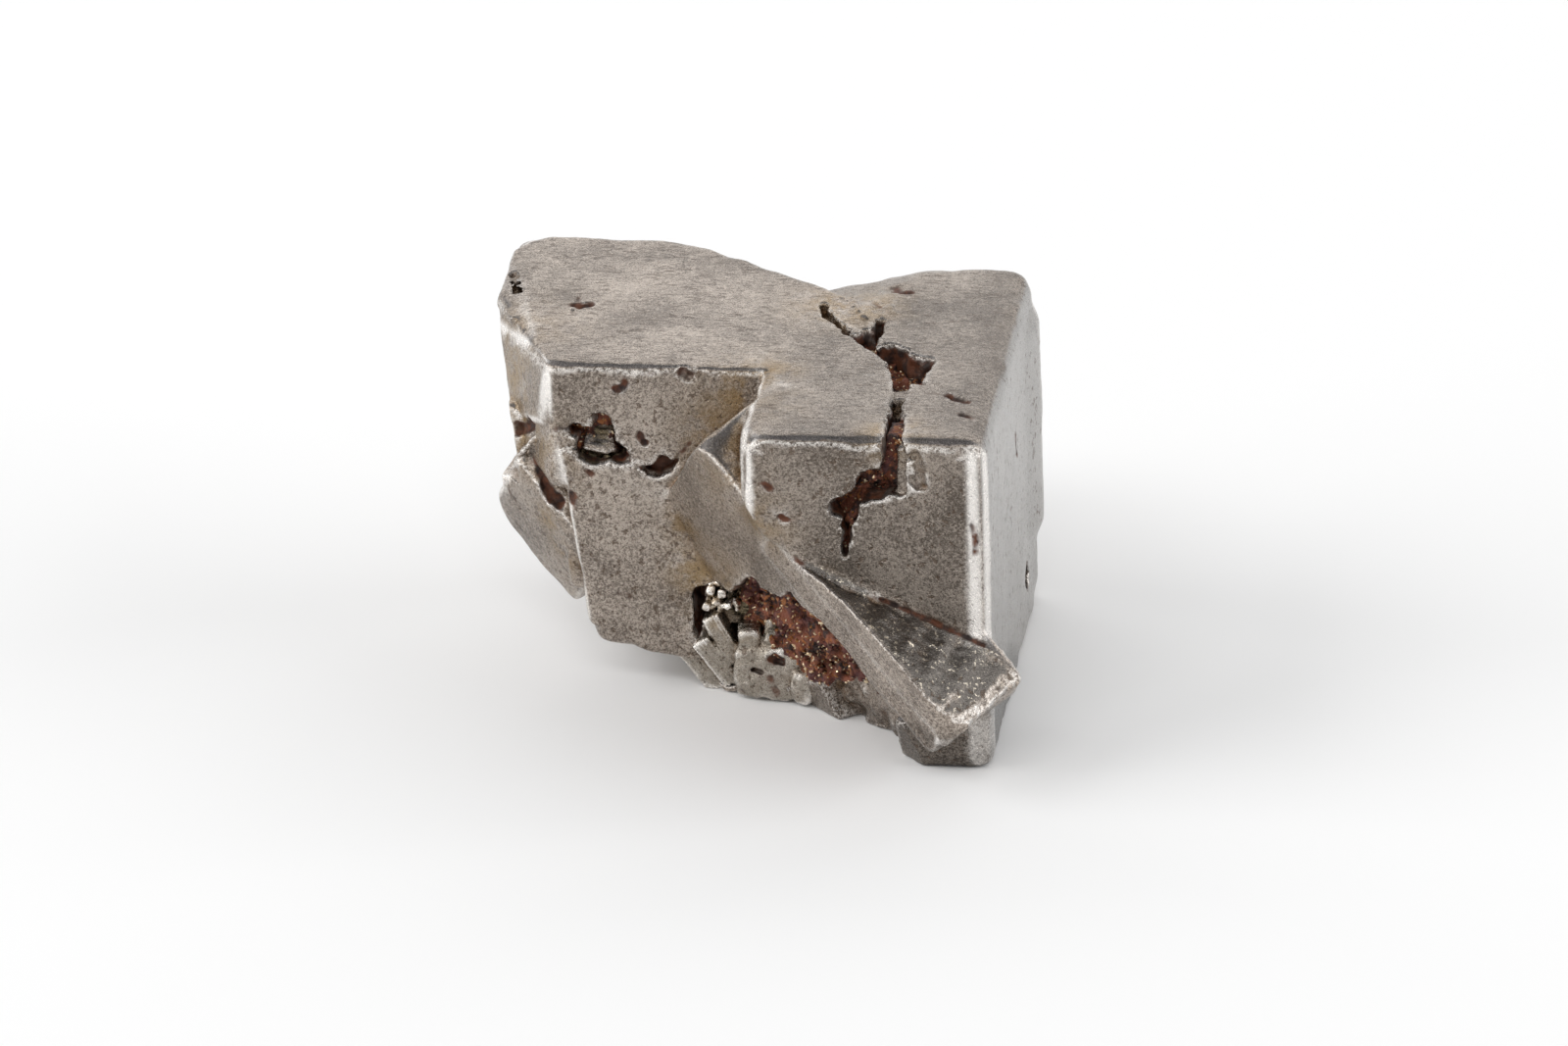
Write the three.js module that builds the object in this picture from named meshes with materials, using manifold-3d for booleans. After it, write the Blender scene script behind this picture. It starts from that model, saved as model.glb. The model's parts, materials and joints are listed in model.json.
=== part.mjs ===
// An isoferroplatinum specimen: river-worn cubes of a heavy grey metal, grown through each other.
//
// Lengths are millimetres. The crystals are described in their own frame (u to the right, v to the
// back, w up), because the big cubes all stand the same way. The whole cluster is turned a little
// about the vertical at the end, and set down with the middle of its base box on the origin.
import * as THREE from 'three';
import { ConvexGeometry } from 'three/addons/geometries/ConvexGeometry.js';
import { mergeVertices } from 'three/addons/utils/BufferGeometryUtils.js';
import Module from 'manifold-3d';

const wasm = await Module();
wasm.setup();

// Driving dimensions
const CLUSTER_TURN = -9; // degrees about the vertical
const RIGHT_FACE = 0.2; // u of the right side of the largest crystal
const FRONT_FACE = -0.1; // v of its front
const TOP_FACE = 9.05; // w of the top that the two largest crystals share
const LEFT_FRONT_FACE = 4.0; // v of the front of the crystals at the left
const BACK_FACE = 12.35; // v of the back of the left crystal
const SLAB_CORNER = [-7.4, 1.3, 8.1]; // upper left corner of the twinned slab that crosses the front
const SLAB_LENGTH = 9.8;
const SLAB_THICKNESS = 2.9;
const SLAB_STEP = 0.35; // how far the slab's long rim stands proud of the metal below it
const WEAR = 0.45; // radius that wear has left on the edges of a large crystal
const OXIDE_GAP = 0.05; // clearance between the iron oxide and the metal around it
const OXIDE_DEPTH = 0.45; // how far below a top or front face the iron oxide begins
const FILL = 40; // larger than the specimen, for blocks that cut away all past a plane

const METAL = { color: 0x9a9188, roughness: 0.42, metalness: 1 };
const OXIDE = { color: 0x5a2c1c, roughness: 0.85, metalness: 0 };

// The two ways that the crystals stand. The second is the first mirrored in an octahedral plane,
// as in the twins that penetrate each other in fluorite and in platinum.
const ORIGIN = [0, 0, 0];
const UNTURNED = [0, 0, 0];
const CUBE_AXES = [new THREE.Vector3(1, 0, 0), new THREE.Vector3(0, 1, 0), new THREE.Vector3(0, 0, 1)];
const TWIN_PLANE = new THREE.Vector3(1, 1, -1).normalize();
const TWIN_AXES = CUBE_AXES.map((axis) => axis.clone().reflect(TWIN_PLANE).negate());
const SLAB_NORMAL = TWIN_AXES[2];

// How far round its corner each point of a worn corner lies, as shares of the three faces there
const ROUNDING = [
  [1, 0, 0],
  [0, 1, 0],
  [0, 0, 1],
  [1, 1, 0],
  [1, 0, 1],
  [0, 1, 1],
  [1, 1, 1],
];

// A closed three.js geometry as a solid that can be joined and cut.
function solidOf(geometry) {
  const bare = new THREE.BufferGeometry();
  bare.setAttribute('position', geometry.getAttribute('position').clone());
  if (geometry.index) bare.setIndex(geometry.index.clone());
  const merged = mergeVertices(bare, 1e-5);
  const mesh = new wasm.Mesh({
    numProp: 3,
    vertProperties: new Float32Array(merged.getAttribute('position').array),
    triVerts: new Uint32Array(merged.index.array),
  });
  return new wasm.Manifold(mesh);
}

// The point where three faces meet, each moved inward by the wear, or null if two are parallel.
function cornerOf(faces, wear) {
  const [a, b, c] = faces;
  const rows = new THREE.Matrix3().set(
    a.normal.x, a.normal.y, a.normal.z,
    b.normal.x, b.normal.y, b.normal.z,
    c.normal.x, c.normal.y, c.normal.z,
  );
  if (Math.abs(rows.determinant()) < 0.05) return null;
  const distances = new THREE.Vector3(a.distance, b.distance, c.distance).addScalar(-wear);
  return distances.applyMatrix3(rows.invert());
}

// The solid inside a set of flat faces, its edges rounded off by wear.
function wornSolid(faces, wear) {
  const points = [];
  for (let i = 0; i < faces.length; i += 1) {
    for (let j = i + 1; j < faces.length; j += 1) {
      for (let k = j + 1; k < faces.length; k += 1) {
        const meeting = [faces[i], faces[j], faces[k]];
        const corner = cornerOf(meeting, wear);
        const outside = (face) => face.normal.dot(corner) > face.distance - wear + 1e-6;
        if (!corner || faces.some(outside)) continue;
        for (const shares of ROUNDING) {
          const outward = new THREE.Vector3();
          shares.forEach((share, n) => outward.addScaledVector(meeting[n].normal, share));
          points.push(corner.clone().addScaledVector(outward.normalize(), wear));
        }
      }
    }
  }
  return solidOf(new ConvexGeometry(points));
}

// One crystal. u, v and w are its two ends along each of its axes, measured from the point at.
// turn tips it about its middle, in degrees about u, v and w. Each cut is a further flat face, as
// an outward direction and a point that it passes through. swell moves every face outward.
function crystal(sizes) {
  const { u, v, w, axes = CUBE_AXES, at = ORIGIN, turn = UNTURNED } = sizes;
  const { cuts = [], wear = WEAR, swell = 0 } = sizes;
  const tip = new THREE.Euler(...turn.map(THREE.MathUtils.degToRad));
  const middle = new THREE.Vector3(...at);
  [u, v, w].forEach(([low, high], n) => middle.addScaledVector(axes[n], (low + high) / 2));
  const faces = [u, v, w].flatMap(([low, high], n) => {
    const normal = axes[n].clone().applyEuler(tip);
    const opposite = normal.clone().negate();
    return [
      { normal, distance: normal.dot(middle) + (high - low) / 2 },
      { normal: opposite, distance: opposite.dot(middle) + (high - low) / 2 },
    ];
  });
  for (const { outward, through } of cuts) {
    const normal = new THREE.Vector3(...outward).normalize();
    faces.push({ normal, distance: normal.dot(new THREE.Vector3(...through)) });
  }
  for (const face of faces) face.distance += swell;
  return wornSolid(faces, wear + swell);
}

// The outline of a hollow moved inward, each side by the same distance.
function insetOutline(outline, inset) {
  const points = outline.map(([x, y]) => new THREE.Vector2(x, y));
  const side = Math.sign(THREE.ShapeUtils.area(points));
  return points.map((point, n) => {
    const before = points.at(n - 1);
    const after = points[(n + 1) % points.length];
    const into = point.clone().sub(before).normalize();
    const away = after.clone().sub(point).normalize();
    const bisector = new THREE.Vector2(-into.y - away.y, into.x + away.x).normalize();
    const reach = inset / Math.max(0.5, bisector.dot(new THREE.Vector2(-into.y, into.x)));
    return point.clone().addScaledVector(bisector, side * reach);
  });
}

// A prism under an outline that is drawn on a face. across and along are the directions of the
// outline's two numbers, from is the point that they start at, and the prism runs from start to
// end below the face.
function prism({ outline, from = ORIGIN, across, along, start = -0.6, end, inset = 0 }) {
  const shape = new THREE.Shape(insetOutline(outline, inset));
  const geometry = new THREE.ExtrudeGeometry(shape, { depth: end - start, bevelEnabled: false });
  const outward = new THREE.Vector3().crossVectors(across, along);
  const place = new THREE.Matrix4().makeBasis(across, along, outward);
  place.setPosition(new THREE.Vector3(...from).addScaledVector(outward, -end));
  return solidOf(geometry.applyMatrix4(place));
}

// A small pit, where a grain of metal is missing.
function pit({ middle, half }) {
  return solidOf(new THREE.IcosahedronGeometry(1, 0).scale(...half).translate(...middle));
}

const joined = (solids) => solids.reduce((all, next) => all.add(next));
const without = (solid, cutters) => cutters.reduce((left, cutter) => left.subtract(cutter), solid);

// The largest of the closed surfaces of a solid: it has no sealed space and no loose crumbs.
const outerShell = (solid) => solid.decompose().sort((a, b) => b.volume() - a.volume())[0];

// Directions of the faces that hollows are drawn on. The cross product of each pair points out.
const [U, V, W] = CUBE_AXES;
const FRONT = { across: U, along: W };
const TOP = { across: U, along: V };
const SLAB = { across: TWIN_AXES[0], along: TWIN_AXES[1], from: SLAB_CORNER };

// The twinned slab: its lower left face takes the slab's step away from the large crystal
const slabPlane = (depth) => ({
  outward: SLAB_NORMAL.toArray(),
  through: new THREE.Vector3(...SLAB_CORNER).addScaledVector(SLAB_NORMAL, -depth).toArray(),
});

const LARGE_CRYSTALS = [
  // the largest crystal, at the right, whose base the specimen stands on
  {
    u: [-6.1, RIGHT_FACE - 0.1],
    v: [FRONT_FACE, 11.1],
    w: [0, TOP_FACE],
    cuts: [slabPlane(0.03), { outward: [-0.25, 0.12, 1], through: [-3.6, 9, TOP_FACE] }],
    turn: [0, 0, 1],
    wear: 0.5,
  },
  // its swollen right back corner
  {
    u: [-2.5, RIGHT_FACE + 0.2],
    v: [7, 11.3],
    w: [1.6, 8.5],
    cuts: [{ outward: [1, -0.12, 0], through: [RIGHT_FACE - 0.2, 8.6, 5] }],
    wear: 0.7,
  },
  // the flat crystal at the upper left, with a broken left edge and a stepped back right edge
  {
    u: [-13.7, -3.4],
    v: [LEFT_FRONT_FACE, BACK_FACE],
    w: [5.4, TOP_FACE],
    cuts: [
      { outward: [-4.4, -2.1, 0.3], through: [-13.6, 8.5, 8] },
      { outward: [1.9, 2.8, 0.2], through: [-6.6, 10.5, TOP_FACE] },
    ],
  },
  // the crystal set back below its left edge
  { u: [-12.95, -6.4], v: [6.5, 11.5], w: [4.4, 8.7], turn: [0, 1.5, 2], wear: 0.35 },
  // the crystal at the lower left, leaning a little, whose front is flush with the one above
  {
    u: [-12.2, -7.0],
    v: [LEFT_FRONT_FACE - 0.05, 9.2],
    w: [1.1, 6.5],
    turn: [0, 7, 0],
    cuts: [{ outward: [-0.9925, 0, -0.122], through: [-11.2, 4, 6.22] }],
    wear: 0.45,
  },
];

const TWINNED_CRYSTALS = [
  // the slab across the front: its broad face, and the long rim that runs down to the right
  { u: [-0.1, 5.2], v: [0, 5.2], w: [-SLAB_THICKNESS, -0.1], wear: 0.3 },
  { u: [-0.35, 1.0], v: [3.0, SLAB_LENGTH], w: [-SLAB_THICKNESS, 0], turn: [0.6, 0.6, -1.2], wear: 0.2 },
].map((sizes) => ({ axes: TWIN_AXES, at: SLAB_CORNER, ...sizes }));

const LEFT_BLADES = [
  // the blade at the far left and the two lamellae between it and the large crystals
  { at: [-12.25, 5.8, 3.65], u: [-1.7, 1.7], v: [-1.65, 1.9], w: [-3, 0], wear: 0.5 },
  { at: [-11.75, 5.8, 5.1], u: [-0.4, 0.4], v: [-0.9, 1.2], w: [-2.6, 0], wear: 0.2 },
].map((sizes) => ({ axes: TWIN_AXES, ...sizes }));

const SMALL_CRYSTALS = [
  // the foot under the front corner of the largest crystal
  { u: [-2.0, RIGHT_FACE], v: [FRONT_FACE, 2.4], w: [0, 2.2], cuts: [slabPlane(-0.05)], wear: 0.35 },
  // a narrow crystal between the blade and the lower left crystal
  { u: [-11.5, -10.3], v: [4.9, 8], w: [2.3, 3.8], turn: [0, -5, 4], wear: 0.2 },
  // worn cubes under the slab
  { u: [-6.9, -4.8], v: [3.4, 6], w: [0.05, 1.45], turn: [0, 2, -4], wear: 0.35 },
  { u: [-6.85, -6.25], v: [3.5, 5], w: [0.9, 1.95], turn: [6, -4, 5], wear: 0.15 },
  { u: [-5.4, -4.7], v: [3.1, 4.4], w: [0.1, 1.0], turn: [3, 5, -8], wear: 0.15 },
  // two striated wedges that lean against them
  { u: [-7.6, -6.95], v: [3.9, 6.6], w: [-0.1, 2.1], turn: [0, -24, -6], wear: 0.15 },
  { u: [-8.2, -7.2], v: [4.3, 7.8], w: [-0.1, 1.6], turn: [0, -34, 4], wear: 0.15 },
  // bright little crystals at the foot of the hollow
  { u: [-4.35, -4.12], v: [2.0, 3.8], w: [0.15, 1.65], turn: [0, -3, 0], wear: 0.07 },
  { u: [-4.2, -3.3], v: [1.75, 3.6], w: [0.1, 0.7], turn: [0, -4, 8], wear: 0.15 },
  { u: [-3.9, -3.15], v: [1.4, 3.2], w: [0.35, 1.05], turn: [-5, 6, 12], wear: 0.12 },
  { u: [-3.8, -3.4], v: [1.4, 3.2], w: [0.95, 1.7], turn: [0, -25, 8], wear: 0.1 },
  { u: [-3.2, -2.3], v: [0.85, 2.4], w: [0.1, 0.75], turn: [0, 6, 14], wear: 0.15 },
  { u: [-2.7, -2.0], v: [0.35, 2], w: [0.35, 1.25], turn: [-4, 10, 6], wear: 0.12 },
];

// Crystals that the front hides: the supports under the left half, and the lumpy back
const HIDDEN_CRYSTALS = [
  { u: [-9.4, -4.2], v: [7.2, 11.3], w: [0, 5.6], turn: [0, 0, 2], wear: 0.4 },
  { u: [-11.2, -6.4], v: [8.0, 12.0], w: [1.7, 6.0], turn: [3, -2, -4], wear: 0.4 },
  { u: [-7.6, -3.2], v: [8.4, 12.1], w: [2.4, 6.6], turn: [-4, 2, 3], wear: 0.45 },
  { u: [-3.6, -0.9], v: [8.6, 11.8], w: [0.1, 3.4], turn: [0, 2, -3], wear: 0.4 },
  { at: [-8.6, 10.4, 4.8], axes: TWIN_AXES, u: [-1.6, 2.2], v: [-2.2, 2.2], w: [-1.8, 1.0], wear: 0.3 },
  { at: [-3.4, 10.6, 6.1], axes: TWIN_AXES, u: [-1.8, 1.3], v: [-1.5, 1.6], w: [-1.5, 0.9], wear: 0.3 },

];

// Hollows between the crystals. Each outline is drawn on the face it opens in, and oxide says
// how deep below that face the iron oxide in it begins and ends.
const HOLLOWS = {
  oxide_front_crack: {
    ...FRONT,
    from: [0, FRONT_FACE, 0],
    outline: [
      [-2.4, 9.6], [-2.4, 8.2], [-2.9, 8.0], [-3.2, 7.5], [-3.8, 7.1], [-3.6, 6.8], [-3.5, 5.8],
      [-3.3, 5.9], [-3.1, 7.0], [-2.7, 7.4], [-1.8, 7.5], [-1.7, 8.5], [-2.0, 9.6],
    ],
    end: 1.5,
    oxide: [OXIDE_DEPTH, 1.4],
  },
  oxide_top_hollow: {
    ...TOP,
    from: [0, 0, TOP_FACE],
    outline: [
      [-4.6, 6.9], [-3.9, 6.0], [-3.3, 5.4], [-2.9, 4.6], [-2.6, 3.6], [-1.8, 3.7], [-1.8, 5.2],
      [-2.5, 5.6], [-2.9, 6.1], [-3.3, 6.0], [-3.4, 7.6], [-3.7, 7.5], [-3.8, 6.9], [-4.5, 7.2],
    ],
    end: 1.5,
    oxide: [OXIDE_DEPTH, 1.4],
  },
  oxide_under_slab: {
    ...SLAB,
    outline: [
      [5.4, 2.3], [4.9, 2.9], [3.3, 3.0], [2.9, 3.5], [2.3, 4.2], [1.5, 4.4], [1.1, 5.4], [1.1, 7.2],
      [1.5, 8.0], [2.7, 6.9], [4.6, 6.2], [6.4, 5.3], [7.3, 4.0],
    ],
    end: 1.8,
    oxide: [0.5, 1.7],
  },
  oxide_left_hollow: {
    ...FRONT,
    from: [0, LEFT_FRONT_FACE, 0],
    outline: [
      [-11.0, 7.15], [-10.5, 7.2], [-10.5, 7.5], [-10.1, 7.5], [-9.9, 7.0], [-9.5, 6.7], [-9.5, 6.4],
      [-9.9, 6.2], [-10.5, 6.2], [-10.9, 6.5],
    ],
    end: 1.1,
    oxide: [0.35, 1.0],
  },
};

// Narrower openings that hold no separate fill
const OPENINGS = [
  // the cleft that joins the two hollows in the top
  prism({
    ...TOP,
    from: [0, 0, TOP_FACE],
    outline: [
      [-2.7, 3.7], [-2.4, 2.7], [-2.35, 0.2], [-1.9, 0.2], [-2.1, 1.5], [-2.1, 2.6], [-2.4, 3.8],
    ],
    end: 0.7,
  }),
  // the metal missing below the slab's long rim
  prism({
    ...SLAB,
    outline: [[1.0, 6.8], [0.95, 9.3], [0.6, 11.5], [9, 11.5], [9, 5.4], [5, 5.8]],
    end: SLAB_STEP,
  }),
  // the groove between the tops of the two large crystals
  prism({
    ...TOP,
    from: [0, 0, TOP_FACE],
    outline: [[-6.6, 9.9], [-5.5, 8.2], [-4.5, 6.7], [-4.3, 6.9], [-5.2, 8.4], [-6.2, 10.1]],
    end: 0.6,
  }),
  // the wedge of missing metal below the left crystal's front
  prism({
    ...FRONT,
    from: [0, LEFT_FRONT_FACE, 0],
    outline: [[-9.3, 6.1], [-8.7, 6.4], [-8.2, 6.5], [-8.4, 6.0], [-8.8, 5.9]],
    end: 0.8,
  }),
  // the crack between the striated wedge and the lower left crystal
  prism({
    ...FRONT,
    from: [0, LEFT_FRONT_FACE, 0],
    outline: [[-8.1, 2.9], [-7.9, 2.9], [-7.9, 1.9], [-7.6, 1.4], [-8.1, 1.1], [-8.2, 1.9]],
    end: 0.9,
  }),
];

// Small pits: the place of the middle, and half of the width, depth and height
const PITS = [
  { middle: [-11.3, 7.6, TOP_FACE], half: [0.28, 0.3, 0.25] },
  { middle: [-13.3, 9.3, 8.7], half: [0.3, 0.35, 0.35] },
  { middle: [-3.35, 9.6, TOP_FACE], half: [0.3, 0.3, 0.3] },
  { middle: [-0.9, 2.65, TOP_FACE], half: [0.3, 0.2, 0.2] },
  { middle: [-0.5, 1.45, TOP_FACE], half: [0.2, 0.25, 0.25] },
  { middle: [-8.05, LEFT_FRONT_FACE, 8.95], half: [0.2, 0.2, 0.22] },
  { middle: [-9.7, LEFT_FRONT_FACE, 8.4], half: [0.2, 0.18, 0.16] },
  { middle: [-8.0, LEFT_FRONT_FACE, 7.0], half: [0.22, 0.25, 0.22] },
  { middle: [-10.95, LEFT_FRONT_FACE, 5.05], half: [0.2, 0.28, 0.25] },
  { middle: [-9.85, LEFT_FRONT_FACE, 2.7], half: [0.3, 0.16, 0.14] },
  { middle: [-12.7, 6.1, 4.05], half: [0.12, 0.2, 0.25] },
  { middle: [-0.15, FRONT_FACE, 8.0], half: [0.2, 0.22, 0.3] },
  { middle: [-0.05, FRONT_FACE, 6.4], half: [0.2, 0.22, 0.4] },
  { middle: [0.1, 5.95, 6.2], half: [0.15, 0.18, 0.28] },
  { middle: [-5.3, FRONT_FACE, 6.7], half: [0.16, 0.18, 0.16] },
  { middle: [-5.7, FRONT_FACE, 7.75], half: [0.32, 0.16, 0.12] },
  { middle: [-2.15, -0.45, 4.2], half: [0.12, 0.25, 0.25] },
  { middle: [-2.5, 0.1, 1.7], half: [0.3, 0.35, 0.3] },
  { middle: [-5.6, 3.35, 0.65], half: [0.2, 0.25, 0.3] },
  { middle: [-5.45, 3.6, 1.5], half: [0.25, 0.3, 0.2] },
  { middle: [-5.0, 11.1, 3.4], half: [0.4, 0.4, 0.5] },
  { middle: [-10.4, 11.95, 7.6], half: [0.35, 0.3, 0.25] },
  { middle: [-12.0, BACK_FACE, 8.2], half: [0.3, 0.25, 0.4] },
  { middle: [-0.2, 8.2, 1.6], half: [0.5, 0.35, 0.4] },
];

// The crystals grown together are one solid. The cubes under the slab stand in its hollow.
const stood = HIDDEN_CRYSTALS.map((sizes) => crystal(sizes));
const large = [...LARGE_CRYSTALS, ...TWINNED_CRYSTALS, ...LEFT_BLADES].map((sizes) => crystal(sizes));
const hollows = Object.values(HOLLOWS).map((hollow) => prism(hollow));
const ground = solidOf(new THREE.BoxGeometry(FILL, FILL, FILL).translate(-5, 5, -FILL / 2));
const hollowed = without(joined([...large, ...stood]), [...hollows, ...OPENINGS]);
const small = SMALL_CRYSTALS.map((sizes) => crystal(sizes));
const pits = PITS.map((sizes) => pit(sizes));
const cluster = outerShell(without(joined([hollowed, ...small]), [...pits, ground]));

// The iron oxide in each hollow, kept clear of the small crystals that stand in front of it.
const keepClear = [
  ...SMALL_CRYSTALS.map((sizes) => crystal({ ...sizes, swell: OXIDE_GAP })),
  ground.translate([0, 0, 2 * OXIDE_GAP]),
  ground.translate([0, 0, TOP_FACE - OXIDE_DEPTH + FILL]),
];
function oxideIn({ oxide: [start, end], ...hollow }) {
  return outerShell(without(prism({ ...hollow, start, end, inset: OXIDE_GAP }), keepClear));
}

// A solid as a named mesh with its own material.
function meshOf(name, solid, finish) {
  const { numProp, vertProperties, triVerts } = solid.getMesh();
  const geometry = new THREE.BufferGeometry();
  geometry.setAttribute('position', new THREE.BufferAttribute(vertProperties, numProp));
  geometry.setIndex(new THREE.BufferAttribute(triVerts, 1));
  geometry.computeVertexNormals();
  const mesh = new THREE.Mesh(geometry, new THREE.MeshStandardMaterial(finish));
  mesh.name = name;
  return mesh;
}

const specimen = new THREE.Group();
specimen.add(meshOf('crystal_cluster', cluster, METAL));
for (const [name, hollow] of Object.entries(HOLLOWS)) specimen.add(meshOf(name, oxideIn(hollow), OXIDE));

// Turned about the vertical, then moved so that the middle of the base box is the origin
specimen.rotation.z = THREE.MathUtils.degToRad(CLUSTER_TURN);
specimen.updateMatrixWorld(true);
const box = new THREE.Box3().setFromObject(specimen, true);
const middle = box.getCenter(new THREE.Vector3());
specimen.position.set(-middle.x, -middle.y, -box.min.z);

export default specimen;
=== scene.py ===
import itertools
import json
import math

import bmesh
import bpy
import numpy as np
import openvdb
from mathutils import Matrix, Vector

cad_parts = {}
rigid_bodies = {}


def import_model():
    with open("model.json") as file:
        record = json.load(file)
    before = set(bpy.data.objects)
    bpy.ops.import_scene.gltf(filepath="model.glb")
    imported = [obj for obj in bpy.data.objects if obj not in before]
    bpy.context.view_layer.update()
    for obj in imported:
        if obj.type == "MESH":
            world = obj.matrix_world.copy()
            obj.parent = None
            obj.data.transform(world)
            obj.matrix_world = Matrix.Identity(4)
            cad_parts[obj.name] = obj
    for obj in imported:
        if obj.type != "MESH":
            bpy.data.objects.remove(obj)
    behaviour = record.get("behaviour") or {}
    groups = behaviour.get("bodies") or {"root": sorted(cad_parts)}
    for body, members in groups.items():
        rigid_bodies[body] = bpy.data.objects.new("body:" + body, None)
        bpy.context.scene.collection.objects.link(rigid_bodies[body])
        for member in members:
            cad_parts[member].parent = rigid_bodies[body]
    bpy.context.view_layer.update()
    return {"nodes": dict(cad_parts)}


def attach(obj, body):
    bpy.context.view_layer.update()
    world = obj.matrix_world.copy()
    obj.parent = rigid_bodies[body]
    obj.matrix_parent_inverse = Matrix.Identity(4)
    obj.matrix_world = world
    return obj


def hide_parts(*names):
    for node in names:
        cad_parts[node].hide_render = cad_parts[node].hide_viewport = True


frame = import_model()

# View, floor and light
# The specimen stands on a plain pale sheet. The view is from 24 degrees above, a little rolled,
# and wide soft panels light it from the back, the left, the right and the front.
VIEW_HEIGHT = math.radians(24)
VIEW_ROLL = math.radians(1.7)
VIEW_DISTANCE = 0.300
VIEW_MIDDLE = Vector((0.000306, -0.000816, 0.004429))
FLOOR_RADIUS = 3.0
PANEL_DISTANCE = 1.2

toward = Vector((0, -math.cos(VIEW_HEIGHT), math.sin(VIEW_HEIGHT)))
level_right = Vector((1, 0, 0))
level_up = toward.cross(level_right)
right = level_right * math.cos(VIEW_ROLL) - level_up * math.sin(VIEW_ROLL)
up = level_up * math.cos(VIEW_ROLL) + level_right * math.sin(VIEW_ROLL)
camera_data = bpy.data.cameras.new("view")
camera_data.lens = 270
camera_data.sensor_width = 36
camera_data.clip_start = 0.01
camera = bpy.data.objects.new("view", camera_data)
camera.matrix_world = Matrix.Translation(VIEW_MIDDLE + toward * VIEW_DISTANCE) @ Matrix(
    (right, up, toward)
).transposed().to_4x4()
bpy.context.scene.collection.objects.link(camera)
bpy.context.scene.camera = camera
bpy.context.scene.view_settings.view_transform = "Standard"

world = bpy.data.worlds.new("pale_room")
world.use_nodes = True
world.node_tree.nodes["Background"].inputs["Color"].default_value = (1.0, 1.0, 1.0, 1)
world.node_tree.nodes["Background"].inputs["Strength"].default_value = 0.3
bpy.context.scene.world = world


def panel(name, azimuth, height, size, strength):
    """A soft square lamp that looks at the specimen. azimuth 0 is the front, 90 the right."""
    lamp = bpy.data.lights.new(name, "AREA")
    lamp.shape = "RECTANGLE"
    lamp.size, lamp.size_y = size
    lamp.energy = strength * math.pi * size[0] * size[1]  # strength is its brightness
    turn, lift = math.radians(azimuth), math.radians(height)
    away = Vector(
        (math.sin(turn) * math.cos(lift), -math.cos(turn) * math.cos(lift), math.sin(lift))
    )
    lamp_object = bpy.data.objects.new(name, lamp)
    lamp_object.matrix_world = (
        Matrix.Translation(away * PANEL_DISTANCE)
        @ away.to_track_quat("Z", "Y").to_matrix().to_4x4()
    )
    bpy.context.scene.collection.objects.link(lamp_object)


panel("back_panel", 180, 28, (2.6, 0.95), 1.4)
panel("left_panel", -85, 30, (0.9, 0.9), 3.4)
panel("right_panel", 80, 22, (1.1, 0.7), 3.0)
panel("front_panel", -15, 50, (1.0, 0.3), 3.4)

floor_mesh = bpy.data.meshes.new("floor")
floor_points = [
    (FLOOR_RADIUS * math.cos(a), FLOOR_RADIUS * math.sin(a), 0)
    for a in np.linspace(0, 2 * math.pi, 96, endpoint=False)
]
floor_mesh.from_pydata(floor_points, [], [list(range(len(floor_points)))])
floor = bpy.data.objects.new("floor", floor_mesh)
bpy.context.scene.collection.objects.link(floor)
paper = bpy.data.materials.new("pale_paper")
paper.use_nodes = True
paper_shader = paper.node_tree.nodes["Principled BSDF"]
paper_shader.inputs["Base Color"].default_value = (0.93, 0.93, 0.93, 1)
paper_shader.inputs["Roughness"].default_value = 0.9
floor_mesh.materials.append(paper)

# The crystals of metal
# River-worn cubes of a heavy platinum and iron metal, grown through each other, so that they are
# one piece. It is held as distances from its surface on a fine grid while hollows are cut in it.
TURN = math.radians(-9)
SHIFT = np.array((5.1947, -6.5048, 0.0))
STEP = 0.05
BAND = 8
GRID_LOW = np.array((-14.4, -2.6, -0.6))
GRID_HIGH = np.array((1.2, 13.4, 9.8))

turned = np.array(
    ((math.cos(TURN), -math.sin(TURN), 0), (math.sin(TURN), math.cos(TURN), 0), (0, 0, 1))
)


def to_crystal(points):
    """Points of the part, in metres, in the crystals' own frame of u, v and w, in millimetres."""
    return (np.asarray(points, float) * 1000 - SHIFT) @ turned


def to_part(points):
    """Points of the crystals' own frame, in millimetres, as points of the part, in metres."""
    return (np.asarray(points, float) @ turned.T + SHIFT) / 1000


def node_shape(name):
    """The points and triangles of one of the model's nodes, in the crystals' own frame."""
    data = frame["nodes"][name].data
    points = np.empty(len(data.vertices) * 3, np.float32)
    data.vertices.foreach_get("co", points)
    data.calc_loop_triangles()
    corners = np.empty(len(data.loop_triangles) * 3, np.int32)
    data.loop_triangles.foreach_get("vertices", corners)
    return to_crystal(points.reshape(-1, 3)), corners.reshape(-1, 3)


def distances_of(points, corners, low, shape, step):
    """Distances from a closed surface at the points of a grid, negative inside it."""
    first = np.round(low / step).astype(int)
    levels = openvdb.FloatGrid.createLevelSetFromPolygons(
        np.ascontiguousarray(points, np.float32),
        triangles=np.ascontiguousarray(corners, np.uint32),
        transform=openvdb.createLinearTransform(step),
        halfWidth=BAND,
    )
    field = np.empty(shape, np.float32)
    levels.copyToArray(field, ijk=tuple(int(i) for i in first))
    return field


def surface_of(field, low, step):
    """The points and quads of the surface where a field of distances is zero."""
    first = np.round(low / step).astype(int)
    levels = openvdb.FloatGrid(float(field.max()))
    levels.copyFromArray(np.ascontiguousarray(field), ijk=tuple(int(i) for i in first))
    levels.transform = openvdb.createLinearTransform(step)
    points, triangles, quads = levels.convertToPolygons(isovalue=0.0, adaptivity=0.0)
    return points.astype(float), quads


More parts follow.
